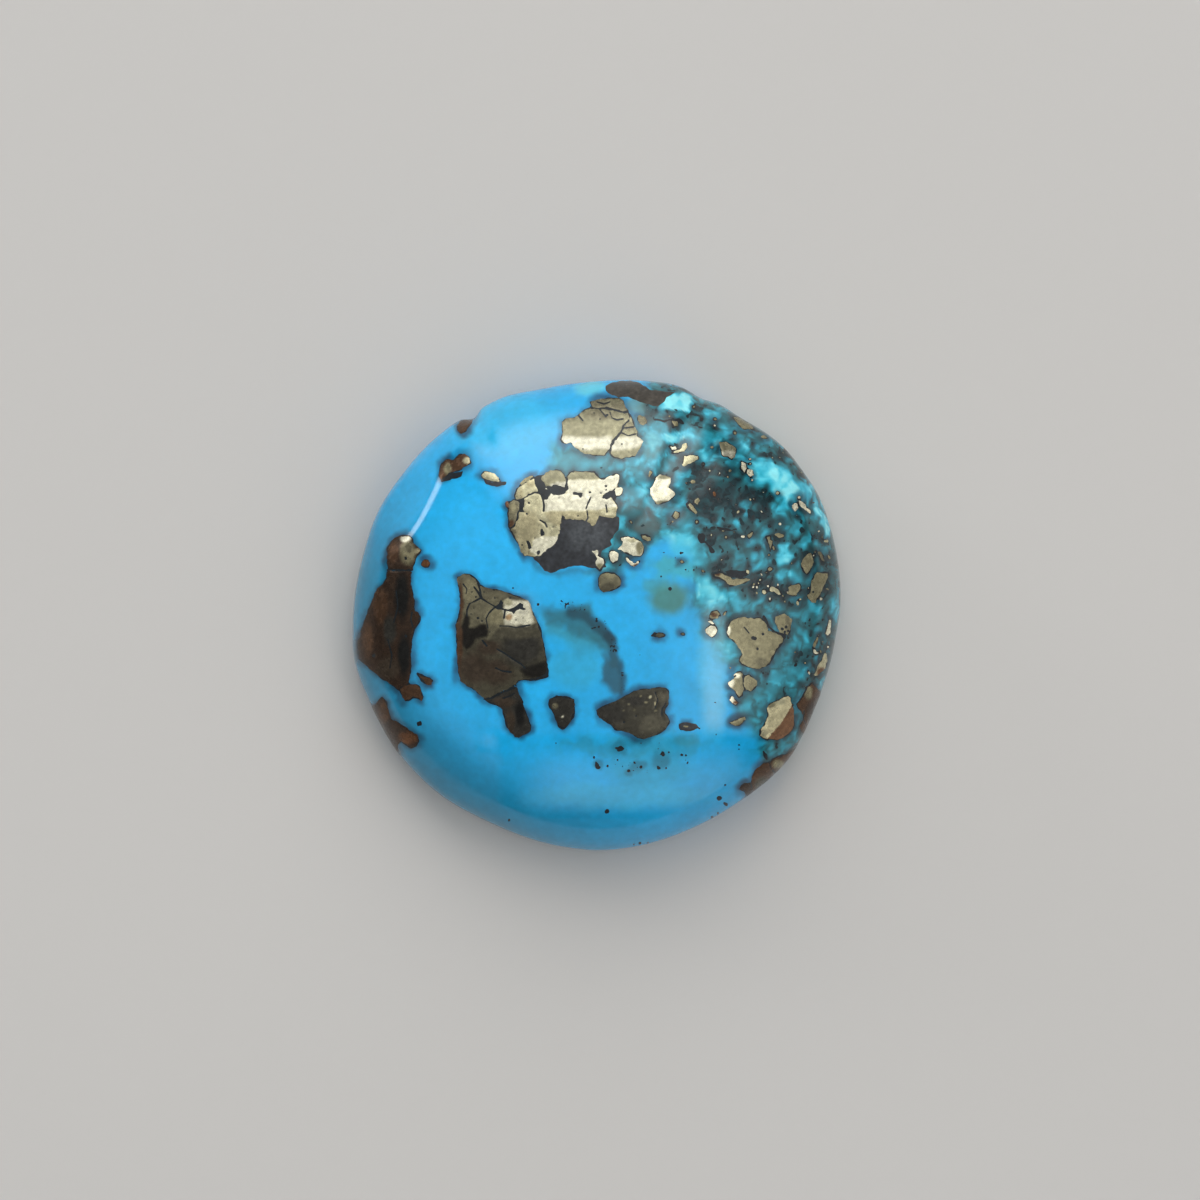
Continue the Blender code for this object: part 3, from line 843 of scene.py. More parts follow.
SMALL_GRAINS = [
    dot(712, 447, 1.6), dot(730, 470.5, 1.7), dot(728, 477, 1.2), dot(693, 482, 2.6, TAN, 1.2),
    dot(715, 419, 1.5), dot(735, 433, 1.6), dot(694, 407, 1.4), dot(714.5, 494, 2.2, RUST, 1.2, 1.4),
    dot(764, 437, 2.4, TAN, 1.3, 0.3), dot(750, 459, 1.3, CREAM), dot(750, 464, 1.1, CREAM),
    dot(752, 480, 1.3, CREAM), dot(777.5, 493, 1.9, BRASS), dot(799, 497.5, 1.5, CREAM),
    dot(764, 592, 2.6, BRASS), dot(753, 587, 1.5, CREAM), dot(757, 587, 1.4, CREAM),
    dot(768, 586, 1.3, CREAM), dot(778, 585, 1.4, CREAM), dot(757, 593, 1.3, TAN),
    dot(760, 580, 1.3, BRASS), dot(770, 569, 2.2, TAN, 1.1), dot(748, 572, 2.0, BRASS, 1.2, 1.2),
    dot(797.5, 603.5, 1.9, BRASS, 1.5, 1.5), dot(821, 599, 1.7, CREAM), dot(780, 524, 1.7, CREAM),
    dot(743, 536.5, 1.8, CREAM, 1.3), dot(773.5, 548, 1.7, TAN, 1.5, 1.3), dot(769, 555, 1.1),
    dot(726, 537, 1.4, TAN), dot(738, 512, 1.6, BRASS, 1.3, 2.2), dot(723, 531, 1.4, TAN, 1.5),
    dot(828, 647, 1.4, CREAM), dot(809, 673, 1.6, CREAM, 1.5, 1.2), dot(805, 663, 1.1, BRASS),
    dot(730.5, 668, 1.2, TAN), dot(826, 541, 2.2, BRASS, 1.2), dot(829, 557, 1.8, TAN, 1.3, 1.0),
    dot(682, 561.5, 1.8, TAN, 1.2, 0.3), dot(703, 571, 1.5, OLIVE), dot(697, 522, 1.5, TAN),
    dot(660, 635, 3.0, DRAB, 1.5), dot(683, 634, 1.4, OLIVE, 1.3), dot(686, 726.5, 2.0, TAN, 1.7),
    dot(631, 522, 1.6, OLIVE, 1.3, 0.8), dot(795, 458, 1.5, CREAM, 1.5, 0.9),
]


# Shares of a soft oval's half width between which its colour fades
BLOB_FADE = (0.55, 1.25)


def blob(cx, cy, rx, ry, colour, strength=1.0, turn=0.0):
    """Describe a soft oval of colour; turn is in degrees, clockwise in the photograph."""
    cos, sin = math.cos(math.radians(turn)), math.sin(math.radians(turn))

    def mask(x, y):
        along = ((x - cx) * cos + (y - cy) * sin) / rx
        across = ((y - cy) * cos - (x - cx) * sin) / ry
        return 1.0 - smooth_step(*BLOB_FADE, np.hypot(along, across))

    return mask, colour, strength


def area(outline, softness, colour, strength=1.0, raggedness=0.0):
    """Describe an area of colour with a soft or ragged edge."""

    def mask(x, y):
        edge = -signed_distance(x, y, outline)
        edge = edge + raggedness * (wander(x, y, 9.0, 5) + 0.6 * wander(x, y, 4.0, 6))
        return smooth_step(-softness, softness, edge)

    return mask, colour, strength


def stroke(line, half_width, softness, colour, strength=1.0):
    """Describe a soft line of colour, uneven in width."""

    def mask(x, y):
        width = half_width * (1.0 + 0.3 * wander(x, y, 10.0, 7))
        return smooth_step(-softness, softness, width - distance_to_line(x, y, line))

    return mask, colour, strength


# The webbed part of the stone, the colours it runs through from pale to dark, and soft
# shapes whose value says how dark the web is there
WEB_OUTLINE = [
    (552, 436), (566, 446), (600, 430), (640, 412), (652, 384), (690, 376), (760, 380),
    (860, 440), (890, 560), (880, 700), (830, 790), (770, 790), (757, 752), (748, 722),
    (736, 700), (729, 668), (714, 650), (706, 622), (690, 608), (684, 592), (692, 576),
    (697, 560), (688, 546), (668, 541), (650, 543), (640, 553), (634, 566), (620, 574),
    (606, 580), (592, 574), (590, 556), (580, 530), (560, 500), (548, 484), (545, 462),
]
DARK_OUTLINE = [
    (700, 438), (740, 440), (775, 455), (800, 480), (822, 520), (840, 560), (850, 610),
    (842, 660), (815, 690), (795, 680), (790, 660), (788, 640), (772, 613), (735, 600),
    (715, 577), (700, 550), (698, 530), (708, 518), (700, 505), (695, 480), (695, 455),
]
WEB_COLOURS = (
    (-0.25, (0.260, 0.830, 0.920)),
    (0.00, (0.095, 0.640, 0.800)),
    (0.20, (0.032, 0.450, 0.620)),
    (0.40, (0.018, 0.275, 0.365)),
    (0.60, (0.012, 0.150, 0.185)),
    (0.80, (0.009, 0.085, 0.100)),
    (1.00, (0.006, 0.040, 0.050)),
)
WEB_BASE = 0.42
WEB_SHADES = [
    # around the crown and the loaf
    blob(585, 462, 38, 14, 0.42),
    blob(640, 466, 30, 10, 0.35),
    blob(632, 492, 16, 20, 0.38),
    blob(640, 438, 16, 18, 0.34),
    blob(625, 525, 12, 14, 0.40),
    blob(650, 524, 16, 16, 0.66),
    blob(672, 518, 24, 12, 0.50),
    blob(690, 492, 14, 18, 0.52),
    blob(632, 574, 20, 10, 0.42),
    blob(682, 545, 19, 13, 0.10),
    blob(672, 566, 22, 10, 0.22),
    # top
    area([(604, 378), (650, 376), (720, 400), (716, 424), (655, 414), (604, 400)], 5.0, 0.72,
         0.9, 3.0),
    blob(677, 403, 18, 11, -0.25),
    blob(672, 417, 26, 7, 0.82),
    blob(700, 424, 22, 9, 0.62),
    blob(676, 436, 22, 6, 0.02),
    blob(652, 436, 8, 14, 0.16),
    area([(655, 442), (700, 440), (708, 470), (690, 488), (660, 472), (648, 455)], 4.0, 0.54,
         0.9, 4.0),
    blob(720, 414, 20, 9, 0.48),
    blob(742, 438, 16, 8, 0.55),
    # dark web
    area(DARK_OUTLINE, 7.0, 0.60, 0.95, 8.0),
    area([(700, 436), (748, 436), (770, 454), (790, 474), (770, 482), (735, 466), (700, 464)],
         5.0, 0.30, 0.9, 5.0),
    blob(704, 404, 15, 8, 0.62, 0.9),
    area([(692, 468), (742, 464), (748, 498), (724, 520), (702, 524), (690, 500)], 4.0, 0.86,
         0.95, 6.0),
    area([(728, 482), (764, 486), (774, 505), (768, 530), (758, 547), (740, 530), (726, 510)],
         4.0, 0.90, 0.95, 6.0),
    blob(784, 506, 13, 11, 0.28, 0.9),
    area([(704, 530), (740, 528), (748, 545), (756, 560), (764, 598), (735, 594), (716, 575),
          (704, 548)], 4.0, 0.86, 0.95, 5.0),
    area([(755, 520), (800, 508), (812, 545), (806, 590), (768, 602), (752, 560)], 4.0,
         0.76, 0.9, 6.0),
    area([(800, 548), (832, 540), (848, 600), (842, 660), (806, 655), (796, 610)], 4.0,
         0.70, 0.9, 6.0),
    area([(752, 444), (778, 446), (806, 464), (802, 484), (786, 474), (758, 463)], 3.0,
         0.80, 0.9, 3.0),
    stroke([(732, 586), (752, 590), (776, 598), (800, 604), (812, 590)], 6.0, 4.0, 0.84),
    blob(757, 585, 17, 12, 0.92, 0.9),
    blob(806, 655, 9, 8, 0.74),
    blob(796, 664, 5, 7, 0.85),
    blob(764, 673, 5, 5, 0.82),
    stroke([(842, 520), (850, 560), (856, 600)], 5.0, 3.0, 0.90),
    stroke([(852, 628), (850, 650), (842, 672)], 5.0, 3.0, 0.84),
    # lower right
    area([(744, 660), (812, 660), (822, 690), (800, 708), (764, 704), (746, 684)], 8.0, 0.46,
         0.9, 6.0),
    blob(790, 742, 22, 14, 0.50),
    blob(745, 700, 12, 9, 0.40),
    # pale windows
    blob(764, 470, 14, 12, 0.06, 0.95, 30),
    blob(784, 484, 20, 13, -0.22, 0.98, 35),
    blob(803, 492, 7, 12, -0.05, 0.9, -25),
    blob(746, 508, 5, 11, 0.26),
    blob(735, 524, 4, 5, 0.36),
    blob(757, 558, 6, 12, 0.40),
    blob(784, 555, 7, 12, 0.20),
    blob(795, 530, 6, 12, 0.24),
    blob(806, 541, 5, 9, 0.26),
    blob(786, 577, 10, 5, 0.22),
    # painted highlight: a pale band where the rim at the upper right catches the light
    blob(822, 520, 5, 22, -0.08, 0.95, -18),
    blob(811, 612, 12, 8, 0.36),
    blob(741, 606, 20, 7, 0.36),
    blob(782, 606, 6, 6, 0.28),
    blob(796, 645, 13, 9, 0.36),
    blob(765, 541, 4, 6, 0.32),
    blob(703, 519, 6, 5, 0.24),
    blob(722, 590, 8, 12, 0.22),
    blob(706, 591, 11, 19, -0.06),
    blob(722, 648, 11, 9, 0.20),
    blob(838, 614, 7, 14, 0.44),
    blob(818, 628, 6, 5, 0.32),
]

STONE_TINTS = [
    # broad changes of the blue; the paler blue at the upper left and the band low down are painted
    # sheen
    blob(505, 425, 60, 34, (0.030, 0.540, 0.920), 0.7),
    blob(620, 796, 90, 14, (0.030, 0.480, 0.780), 0.6),
    blob(575, 668, 28, 22, (0.030, 0.440, 0.700), 0.6),
    blob(589, 389, 17, 8, PALE, 0.8),
    blob(637, 404, 13, 10, (0.120, 0.270, 0.260), 0.75, 20),
    # painted reflection: a pale upright band where the window strip is mirrored
    blob(713, 668, 17, 78, PALE, 0.30),
    # hazy strip between the crown and the loaf
    blob(578, 463, 36, 11, (0.060, 0.390, 0.500), 0.6),
    # speckled patch low on the stone
    blob(650, 768, 46, 22, (0.014, 0.360, 0.580), 0.7),
    area([(560, 742), (600, 738), (640, 736), (672, 732), (700, 738), (706, 748), (680, 756),
          (640, 756), (600, 752), (570, 752)], 7.0, (0.020, 0.300, 0.450), 0.65, 5.0),
    # shade beside the loaf and its slate
    stroke([(536, 562), (546, 573), (560, 576), (576, 570), (596, 573)], 2.5, 4.0, VEIN, 0.6),
    stroke([(533, 472), (520, 480), (512, 492), (505, 508), (508, 526), (516, 545)], 1.5, 4.0,
           VEIN, 0.35),
    # green and grey stains
    area([(646, 566), (664, 556), (692, 558), (698, 572), (690, 582), (668, 580)], 6.0,
         (0.042, 0.440, 0.500), 0.75, 4.0),
    blob(684, 545, 14, 12, (0.050, 0.560, 0.760), 0.6),
    blob(668, 600, 20, 19, GREEN, 0.85),
    blob(656, 584, 14, 9, (0.050, 0.330, 0.330), 0.6),
    blob(648, 525, 12, 11, TAUPE, 0.55, 20),
    blob(652, 444, 10, 16, (0.150, 0.330, 0.320), 0.35, 10),
    # smudges between the specks
    blob(628, 743, 10, 5, SMUDGE, 0.6), blob(645, 742, 9, 5, SMUDGE, 0.6),
    blob(660, 760, 10, 9, SMUDGE, 0.7), blob(620, 749, 8, 6, SMUDGE, 0.7),
    blob(598, 764, 7, 7, SMUDGE, 0.7), blob(638, 765, 9, 6, SMUDGE, 0.7),
    blob(629, 771, 5, 4, SMUDGE, 0.7), blob(685, 741, 14, 7, (0.035, 0.260, 0.350), 0.6),
    # dark surround of the small grain at the lower right
    blob(740, 718, 16, 9, STAIN, 0.75, -25),
    # arched stain under the loaf
    area([(546, 618), (575, 628), (596, 638), (601, 655), (585, 652), (565, 642), (548, 636)],
         8.0, (0.030, 0.330, 0.470), 0.85, 1.5),
    area([(543, 609), (557, 606), (565, 603), (574, 602), (586, 604), (593, 610), (594, 618),
          (603, 626), (610, 636), (613, 648), (606, 655), (598, 648), (590, 641), (578, 634),
          (563, 627), (549, 621)], 5.5, (0.018, 0.140, 0.172), 0.86, 2.2),
    stroke([(570, 611), (580, 615), (591, 622), (600, 629), (608, 637)], 5.5, 3.0, STAIN, 0.76),
    blob(573, 607, 9, 4, STAIN, 0.5),
    stroke([(607, 635), (611, 643), (613, 651), (613, 661)], 4.0, 2.5, STAIN, 0.80),
    area([(604, 655), (615, 653), (621, 664), (626, 675), (626, 685), (622, 695), (611, 694),
          (602, 684), (600, 668)], 4.5, (0.018, 0.100, 0.150), 0.92, 1.5),
    stroke([(619, 664), (624, 675), (623, 688), (620, 695)], 2.5, 2.5, STAIN, 0.70),
    # back, drawn beside the frame
    area([(1870, 560), (1930, 500), (2010, 520), (2040, 580), (1990, 640), (1900, 650)], 10.0,
         TEAL, 0.7, 8.0),
    area([(2060, 650), (2130, 640), (2160, 700), (2110, 760), (2050, 730)], 10.0,
         TEAL_DULL, 0.75, 8.0),
    stroke([(1830, 470), (1890, 520), (1960, 560), (2050, 640), (2110, 690), (2180, 720)],
           6.0, 5.0, VEIN, 0.8),
    stroke([(1960, 560), (1950, 640), (1900, 740), (1880, 800)], 4.0, 4.0, VEIN, 0.75),
    stroke([(2050, 640), (2090, 540), (2080, 460)], 4.0, 4.0, VEIN, 0.7),
]


def flattened(x, y):
    """Return where photograph pixels lie on the unrolled surface, at the rim's scale."""
    u, v = unrolled(x, y)
    return u * PX_PER_M, v * PX_PER_M


def web_at(x, y):
    """Return how much the web covers the blue, and how dark it is, at photograph pixels.

    Its veins are even on the stone's own surface, so they aren't drawn out on the sides."""
    a, b = flattened(x, y)
    aside, along = 3.0 * wander(a, b, 7.0, 61), 3.0 * wander(a, b, 7.0, 62)
    x, y, a, b = x + aside, y + along, a + aside, b + along
    reach = -signed_distance(x, y, WEB_OUTLINE) + 6.0 * wander(a, b, 16.0, 51)
    cover = smooth_step(-9.0, 9.0, reach)
    darkness = np.full(np.shape(x), WEB_BASE)
    for mask, value, strength in WEB_SHADES:
        amount = mask(x, y) * strength
        darkness = darkness * (1.0 - amount) + value * amount
    veins = 0.29 - 0.50 * np.abs(wander(a, b, 12.0, 52)) - 0.32 * np.abs(wander(a, b, 6.0, 53))
    return cover, darkness + veins + 0.14 * wander(a, b, 15.0, 59) + 0.10 * wander(a, b, 3.5, 54)


# Dark mineral that shows between and beside the grains: areas with their colours, lines with
# their half widths, and specks as (x, y, size)
MATRIX_AREAS = [
    ([(562, 521), (566, 520), (572, 519), (580, 520), (586, 522), (590, 525), (595, 527),
      (598, 522), (600, 517), (606, 518), (612, 519), (618, 516), (620, 522), (618, 530),
      (614, 536), (610, 540), (612, 545), (606, 548), (602, 550), (600, 556), (603, 562),
      (606, 567), (600, 569), (592, 568), (584, 566), (576, 566), (568, 567), (562, 569),
      (556, 572), (550, 573), (545, 571), (541, 567), (538, 562), (534, 559), (540, 557),
      (546, 554), (552, 549), (557, 543), (560, 537), (560, 528)], COAL),
    ([(546, 522), (562, 514), (600, 512), (614, 514), (600, 530), (567, 532), (561, 546),
      (549, 557), (538, 561), (531, 556), (545, 540)], COAL),
    ([(606, 386), (612, 383), (620, 381), (630, 381), (640, 383), (646, 387), (650, 390),
      (660, 391), (676, 392), (666, 397), (664, 402), (658, 407), (650, 405), (641, 402),
      (634, 400), (628, 397), (620, 397), (612, 395), (606, 391)], SOOT),
    ([(522, 486), (527, 480), (536, 476), (546, 474), (566, 478), (600, 478), (616, 477),
      (618, 490), (614, 508), (600, 514), (560, 520), (544, 522), (541, 532), (522, 530),
      (514, 520), (516, 500)], BLACK),
    ([(535, 477), (541, 480), (544, 490), (549, 494), (548, 499), (545, 500), (541, 495),
      (538, 488)], BLACK),
    ([(550, 489), (556, 487), (567, 487), (567, 491), (562, 494), (556, 494)], BLACK),
    ([(603, 497), (607, 492), (613, 491), (614, 495), (610, 499)], BLACK),
    ([(725, 571), (735, 570), (745, 571), (749, 575), (740, 578), (730, 577)], BLACK),
    ([(523, 668), (535, 665), (548, 664), (549, 677), (536, 681), (524, 680)], BLACK),
    ([(440, 470), (450, 474), (463, 471), (461, 477), (450, 480), (441, 482)], BLACK),
    ([(483, 479), (495, 483), (507, 481), (506, 485), (496, 487), (486, 484)], COAL),
    ([(651, 636), (654, 632), (657, 633), (656, 637)], BLACK),
    ([(678, 724), (686, 722), (696, 724), (699, 728), (690, 731), (680, 730)], COAL),
    ([(416, 722), (421, 721), (422, 726), (417, 727)], BLACK),
]
MATRIX_LINES = [
    ([(764, 617), (769, 628), (776, 632), (784, 637)], 1.2),
    ([(764, 752), (766, 756), (768, 760)], 1.2),
    ([(700, 536), (706, 545), (712, 551)], 1.8),
    ([(718, 529), (726, 530), (735, 529)], 1.3),
    ([(655, 420), (664, 422), (672, 419), (682, 422)], 1.3),
]
MATRIX_SPECKS = [
    (619.3, 748.7, 3.9), (616.5, 748, 1.8), (597, 764.5, 2.7), (597.5, 767, 2.4),
    (593.7, 757.3, 1.5), (607.7, 765.5, 1.6), (628, 771, 1.9), (634.5, 762.7, 1.7),
    (641, 767, 2.1), (662, 753.8, 2.6), (658.5, 767.8, 2.1), (666, 768, 1.2), (682, 755, 1.5),
    (607, 811, 2.4), (509, 820, 1.9), (720, 798, 2.7), (726, 804, 2.5), (725, 785, 1.3),
    (739, 745, 1.3), (739, 749, 1.1), (513, 588, 1.2), (681, 553, 1.4), (694, 570, 1.3),
    (705, 572, 1.5), (670, 589, 2.2), (763, 673, 1.8), (796, 665, 1.8), (538, 604, 1.5),
    (470, 492, 0.9), (640, 655, 0.9), (556, 743, 0.9), (640, 843.5, 1.5), (648, 842.5, 1.2),
    (634, 844.5, 1.1), (712, 817, 1.6), (718, 813, 1.3), (706, 822, 1.2),
]
# Places where tiny specks are strewn: (x, y, half width, half height, number)
SPECK_CLOUDS = (
    (575, 606, 15, 5, 26), (598, 626, 8, 8, 16), (613, 646, 3, 9, 14), (623, 680, 2, 10, 8),
    (640, 755, 48, 18, 34), (678, 566, 22, 14, 16), (700, 700, 30, 40, 8),
)


def all_specks():
    """Return the specks of dark mineral, with tiny seeded ones in the speck clouds."""
    draw = np.random.default_rng(67)
    specks = list(MATRIX_SPECKS)
    for cx, cy, rx, ry, count in SPECK_CLOUDS:
        for _ in range(count):
            px, py = cx + rx * draw.uniform(-1.0, 1.0), cy + ry * draw.uniform(-1.0, 1.0)
            specks.append((px, py, 0.55 + 0.7 * draw.uniform() ** 2))
    return specks


def all_grains():
    """Return the large grains, and the small ones with seeded dust in the dark web."""
    patches = (CROWN_PATCH + LOAF_PATCH + BESIDE_LOAF + HEART_PATCH + LOW_PATCH
               + FAR_LEFT_PATCH)
    scattered = RIGHT_PATCHES + SMALL_GRAINS
    draw = np.random.default_rng(11)
    x = draw.uniform(*DUST_COLUMNS, DUST_TRIES)
    y = draw.uniform(*DUST_ROWS, DUST_TRIES)
    cover, darkness = web_at(x, y)
    chosen = (cover * darkness + draw.uniform(-0.15, 0.15, DUST_TRIES)) > DUST_LEVEL
    for px, py in list(zip(x[chosen], y[chosen]))[:DUST_COUNT]:
        metal = (CREAM, BRASS, TAN)[int(draw.integers(3))]
        size = 0.45 + 0.9 * draw.uniform() ** 2.5
        scattered.append(dot(px, py, size, metal, draw.uniform(1.0, 1.6),
                             draw.uniform(0.0, 3.0), seam=0.5))
    return patches, scattered


# Grains on the back, as (x, y, size) beside the frame, their number of corners, how much
# wider than high they are, and the metals and shades that they take in turn
BACK_GRAINS = (
    (1925, 575, 26), (1968, 548, 15), (2100, 690, 24), (2070, 660, 12), (1890, 470, 14),
    (1905, 745, 18), (2140, 560, 9), (2010, 800, 12), (2085, 480, 10), (1850, 640, 8),
)
BACK_CORNERS = 11
BACK_STRETCH = 1.25
BACK_METALS = ((TAN, OLIVE), (OLIVE, TAN), (DRAB, IRON))


def back_grains():
    """Return grains for the back, drawn beside the frame as seen from below."""
    draw = np.random.default_rng(23)
    grains = []
    for index, (cx, cy, size) in enumerate(BACK_GRAINS):
        outline = []
        for i in range(BACK_CORNERS):
            reach = size * draw.uniform(0.65, 1.15)
            angle = math.tau * i / BACK_CORNERS
            outline.append((cx + BACK_STRETCH * reach * math.cos(angle),
                            cy + reach * math.sin(angle)))
        metal, shade = BACK_METALS[index % len(BACK_METALS)]
        grains.append(grain(outline, metal, rough_edge=0.8,
                            shades=[(cx - 4, cy - 3, size * 0.6, size * 0.4, shade)],
                            pits=[(cx + size * 0.3, cy + 2, 1.6)]))
    return grains


# Inlaid plates


def dome_grid(step):
    """Return a square grid over the unrolled dome and wall."""
    reach = ARC_BACK - 0.1 * MM
    line = np.arange(-reach, reach + step, step)
    u, v = np.meshgrid(line, line)
    return u, v, np.hypot(u, v) < reach


def back_grid(step):
    """Return a square grid over the flat back, seen from below."""
    reach = NOMINAL_RADIUS
    line = np.arange(-reach, reach + step, step)
    u, v = np.meshgrid(line, line)
    inner = rim_radius(np.arctan2(v, -u)) - BEVEL_WIDTH - 0.2 * MM
    return u, v, np.hypot(u, v) < inner


def back_pixels(u, v):
    """Return where places on the back are drawn beside the frame."""
    return BACK_PX[0] + u * PX_PER_M, BACK_PX[1] - v * PX_PER_M


def raised_back(u, v, lift):
    """Return points of the back, raised out of it."""
    height = np.broadcast_to(SKIN - lift, np.shape(u))
    return np.stack((-u, v, height), axis=-1)


def near(x, y, outline, margin):
    """Return which points lie near an outline's bounding box."""
    low_x, high_x = min(p[0] for p in outline), max(p[0] for p in outline)
    low_y, high_y = min(p[1] for p in outline), max(p[1] for p in outline)
    return ((x > low_x - margin) & (x < high_x + margin)
            & (y > low_y - margin) & (y < high_y + margin))


def lower(field, x, y, outline, margin, outside):
    """Lower a field near an outline to what the function outside gives there."""
    at = near(x, y, outline, margin)
    field[at] = np.minimum(field[at], outside(x[at], y[at]))


def grain_field(x, y, grains):
    """Return how far each point lies outside its nearest grain, and which grain that is."""
    field = np.full(x.shape, FAR)
    owner = np.zeros(x.shape, dtype=int)
    for index, item in enumerate(grains):
        at = near(x, y, item["outline"], GRAIN_MARGIN)
        ax, ay = x[at], y[at]
        rough = item["rough_edge"]
        edge = signed_distance(*shifted(ax, ay, rough, 3.0, 1), item["outline"]) + 0.2
        edge = edge + 0.5 * rough * wander(ax, ay, 2.0, 3)
        for line in item["cracks"]:
            width = 0.75 + 0.35 * wander(ax, ay, 5.0, 4)
            edge = np.maximum(edge, width - distance_to_line(ax, ay, line))
        for hole in item["holes"]:
            edge = np.maximum(edge, 0.3 - signed_distance(ax + 0.7 * wander(ax, ay, 2.5, 58),
                                                          ay, hole))
        for px, py, size in item["pits"]:
            dent = size * (1.0 + 0.35 * wander(ax, ay, 2.5, 8))
            edge = np.maximum(edge, dent - np.hypot(ax - px, ay - py))
        nearer = edge < field[at]
        field[at] = np.where(nearer, edge, field[at])
        owner[at] = np.where(nearer, index, owner[at])
    return field, owner


def matrix_field(x, y, grains, areas, lines, specks):
    """Return how far each point lies outside the dark mineral."""
    field, nearest, second = (np.full(x.shape, FAR) for _ in range(3))
    for item in grains:
        at = near(x, y, item["outline"], SEAM_MARGIN)
        ax, ay = x[at], y[at]
        edge = signed_distance(ax, ay, item["outline"])
        rim = item["seam"] * (0.45 + 1.1 * wander(ax, ay, 8.0, 9) + 0.5 * wander(ax, ay, 3.0, 55))
        field[at] = np.minimum(field[at], edge - rim)
        second[at] = np.minimum(second[at], np.maximum(nearest[at], edge))
        nearest[at] = np.minimum(nearest[at], edge)
    field = np.minimum(field, second - CRACK_REACH)
    for outline, _ in areas:
        lower(field, x, y, outline, SEAM_MARGIN, lambda a, b: (
            signed_distance(a, b, outline) + 0.7 * wander(a, b, 3.5, 10)))
    for line, half_width in lines:
        lower(field, x, y, line, LINE_MARGIN, lambda a, b: (
            distance_to_line(*shifted(a, b, 2.0, 7.0, 12), line)
            - half_width * (1.0 + 0.7 * wander(a, b, 6.0, 11))))
    for px, py, size in specks:
        lower(field, x, y, [(px, py)], size + GRAIN_MARGIN, lambda a, b: (
            np.hypot(a - px, b - py) - size * (0.9 + 0.45 * wander(a, b, 2.5, 14))))
    return field, np.zeros(x.shape, dtype=int)


def fleck_field(x, y):
    """Return how far each point lies outside the dark flecks of the web."""
    field = np.full(x.shape, FAR)
    at = near(x, y, WEB_OUTLINE, GRAIN_MARGIN)
    ax, ay = x[at], y[at]
    cover, darkness = web_at(ax, ay)
    ax, ay = flattened(ax, ay)
    flecks = darkness + 0.30 * wander(ax, ay, 4.5, 56) + 0.30 * wander(ax, ay, 2.4, 57)
    field[at] = FLECK_WIDTH * (FLECK_LEVEL - flecks * cover)
    return field, np.zeros(x.shape, dtype=int)


def cut_plate(u, v, field):
    """Return points, faces and border edges of the part of a grid where a field is below 0.

    A point is a grid corner inside that part, or the place between two where the field
    crosses 0."""
    columns = field.shape[1]
    low = field < 0.0
    cell_rows, cell_columns = np.nonzero(low[:-1, :-1] | low[1:, :-1] | low[:-1, 1:] | low[1:, 1:])
    flat_u, flat_v, flat_f = u.ravel().tolist(), v.ravel().tolist(), field.ravel().tolist()
    below = low.ravel().tolist()
    number = {}
    points, owners, faces, border = [], [], [], []

    def corner(a):
        if a not in number:
            number[a] = len(points)
            points.append((flat_u[a], flat_v[a]))
            owners.append(a)
        return number[a]

    def crossing(a, b):
        key = (min(a, b), max(a, b))
        if key not in number:
            t = min(max(flat_f[a] / (flat_f[a] - flat_f[b]), 0.06), 0.94)
            number[key] = len(points)
            points.append((flat_u[a] + (flat_u[b] - flat_u[a]) * t,
                           flat_v[a] + (flat_v[b] - flat_v[a]) * t))
            owners.append(a if below[a] else b)
        return number[key]

    for start in (cell_rows * columns + cell_columns).tolist():
        corners = (start, start + 1, start + columns + 1, start + columns)
        ring = []
        for a, b in zip(corners, corners[1:] + corners[:1]):
            if below[a]:
                ring.append((corner(a), False))
            if below[a] != below[b]:
                ring.append((crossing(a, b), True))
        faces.append([index for index, _ in ring])
        for (a, cut_a), (b, cut_b) in zip(ring, ring[1:] + ring[:1]):
            if cut_a and cut_b:
                border.append((a, b))
    return np.array(points), np.array(owners), faces, border


def plate_mesh(name, side, field_of, painter, heights, step, lean=0.0):
    """Make one mesh of closed plates let into the stone.

    Side holds the functions (grid, place on the surface, pixels). The plates lie where
    field_of is below 0, and lean says how much their tops tilt."""
    grid, place, pixels = side
    proud, edge_lift = heights
    u, v, allowed = grid(step)
    field, owner = field_of(*pixels(u, v))
    field = np.where(allowed, field, np.maximum(field, 1.0))
    points, owners, cells, border = cut_plate(u, v, field)
    count, (pu, pv) = len(points), points.T
    px, py = pixels(pu, pv)
    inner = np.clip(-field.ravel()[owners], 0.0, RISE_WIDTH) / RISE_WIDTH
    inner[[a for a, _ in border]] = 0.0
    index = owner.ravel()[owners]
    tilt = lean * (np.sin(index * 2.1) * wander(px, py, 40.0, 15)
                   + np.cos(index * 1.3) * wander(px, py, 22.0, 16))
    lift = edge_lift + (proud - edge_lift) * inner * (0.75 + 0.25 * tilt)
    faces = []
    for cell in cells:
        faces.append(cell)
        faces.append([count + i for i in reversed(cell)])
    for a, b in border:
        faces.append([b, a, count + a, count + b])
    mesh = bpy.data.meshes.new(name)
    bottom = place(pu, pv, np.full(count, -INLAY_DEPTH))
    mesh.from_pydata(np.vstack((place(pu, pv, lift), bottom)).tolist(), [], faces)
    paint(mesh, "tint", np.tile(painter(px, py, index), (2, 1)))
    mesh.validate()
    mesh.shade_smooth()
    mesh.set_sharp_from_angle(angle=math.radians(INLAY_CREASE))
    return mesh


def paint(mesh, name, colours):
    """Store linear colours on a mesh's points."""
    layer = mesh.color_attributes.new(name, "FLOAT_COLOR", "POINT")
    rgba = np.ones((len(colours), 4), dtype=np.float32)
    rgba[:, :3] = colours
    layer.data.foreach_set("color", rgba.ravel())


def mixed(colours, colour, amount):
    """Return colours mixed with another one by an amount at each point."""
    amount = amount[:, None]
    return colours * (1.0 - amount) + np.array(colour) * amount


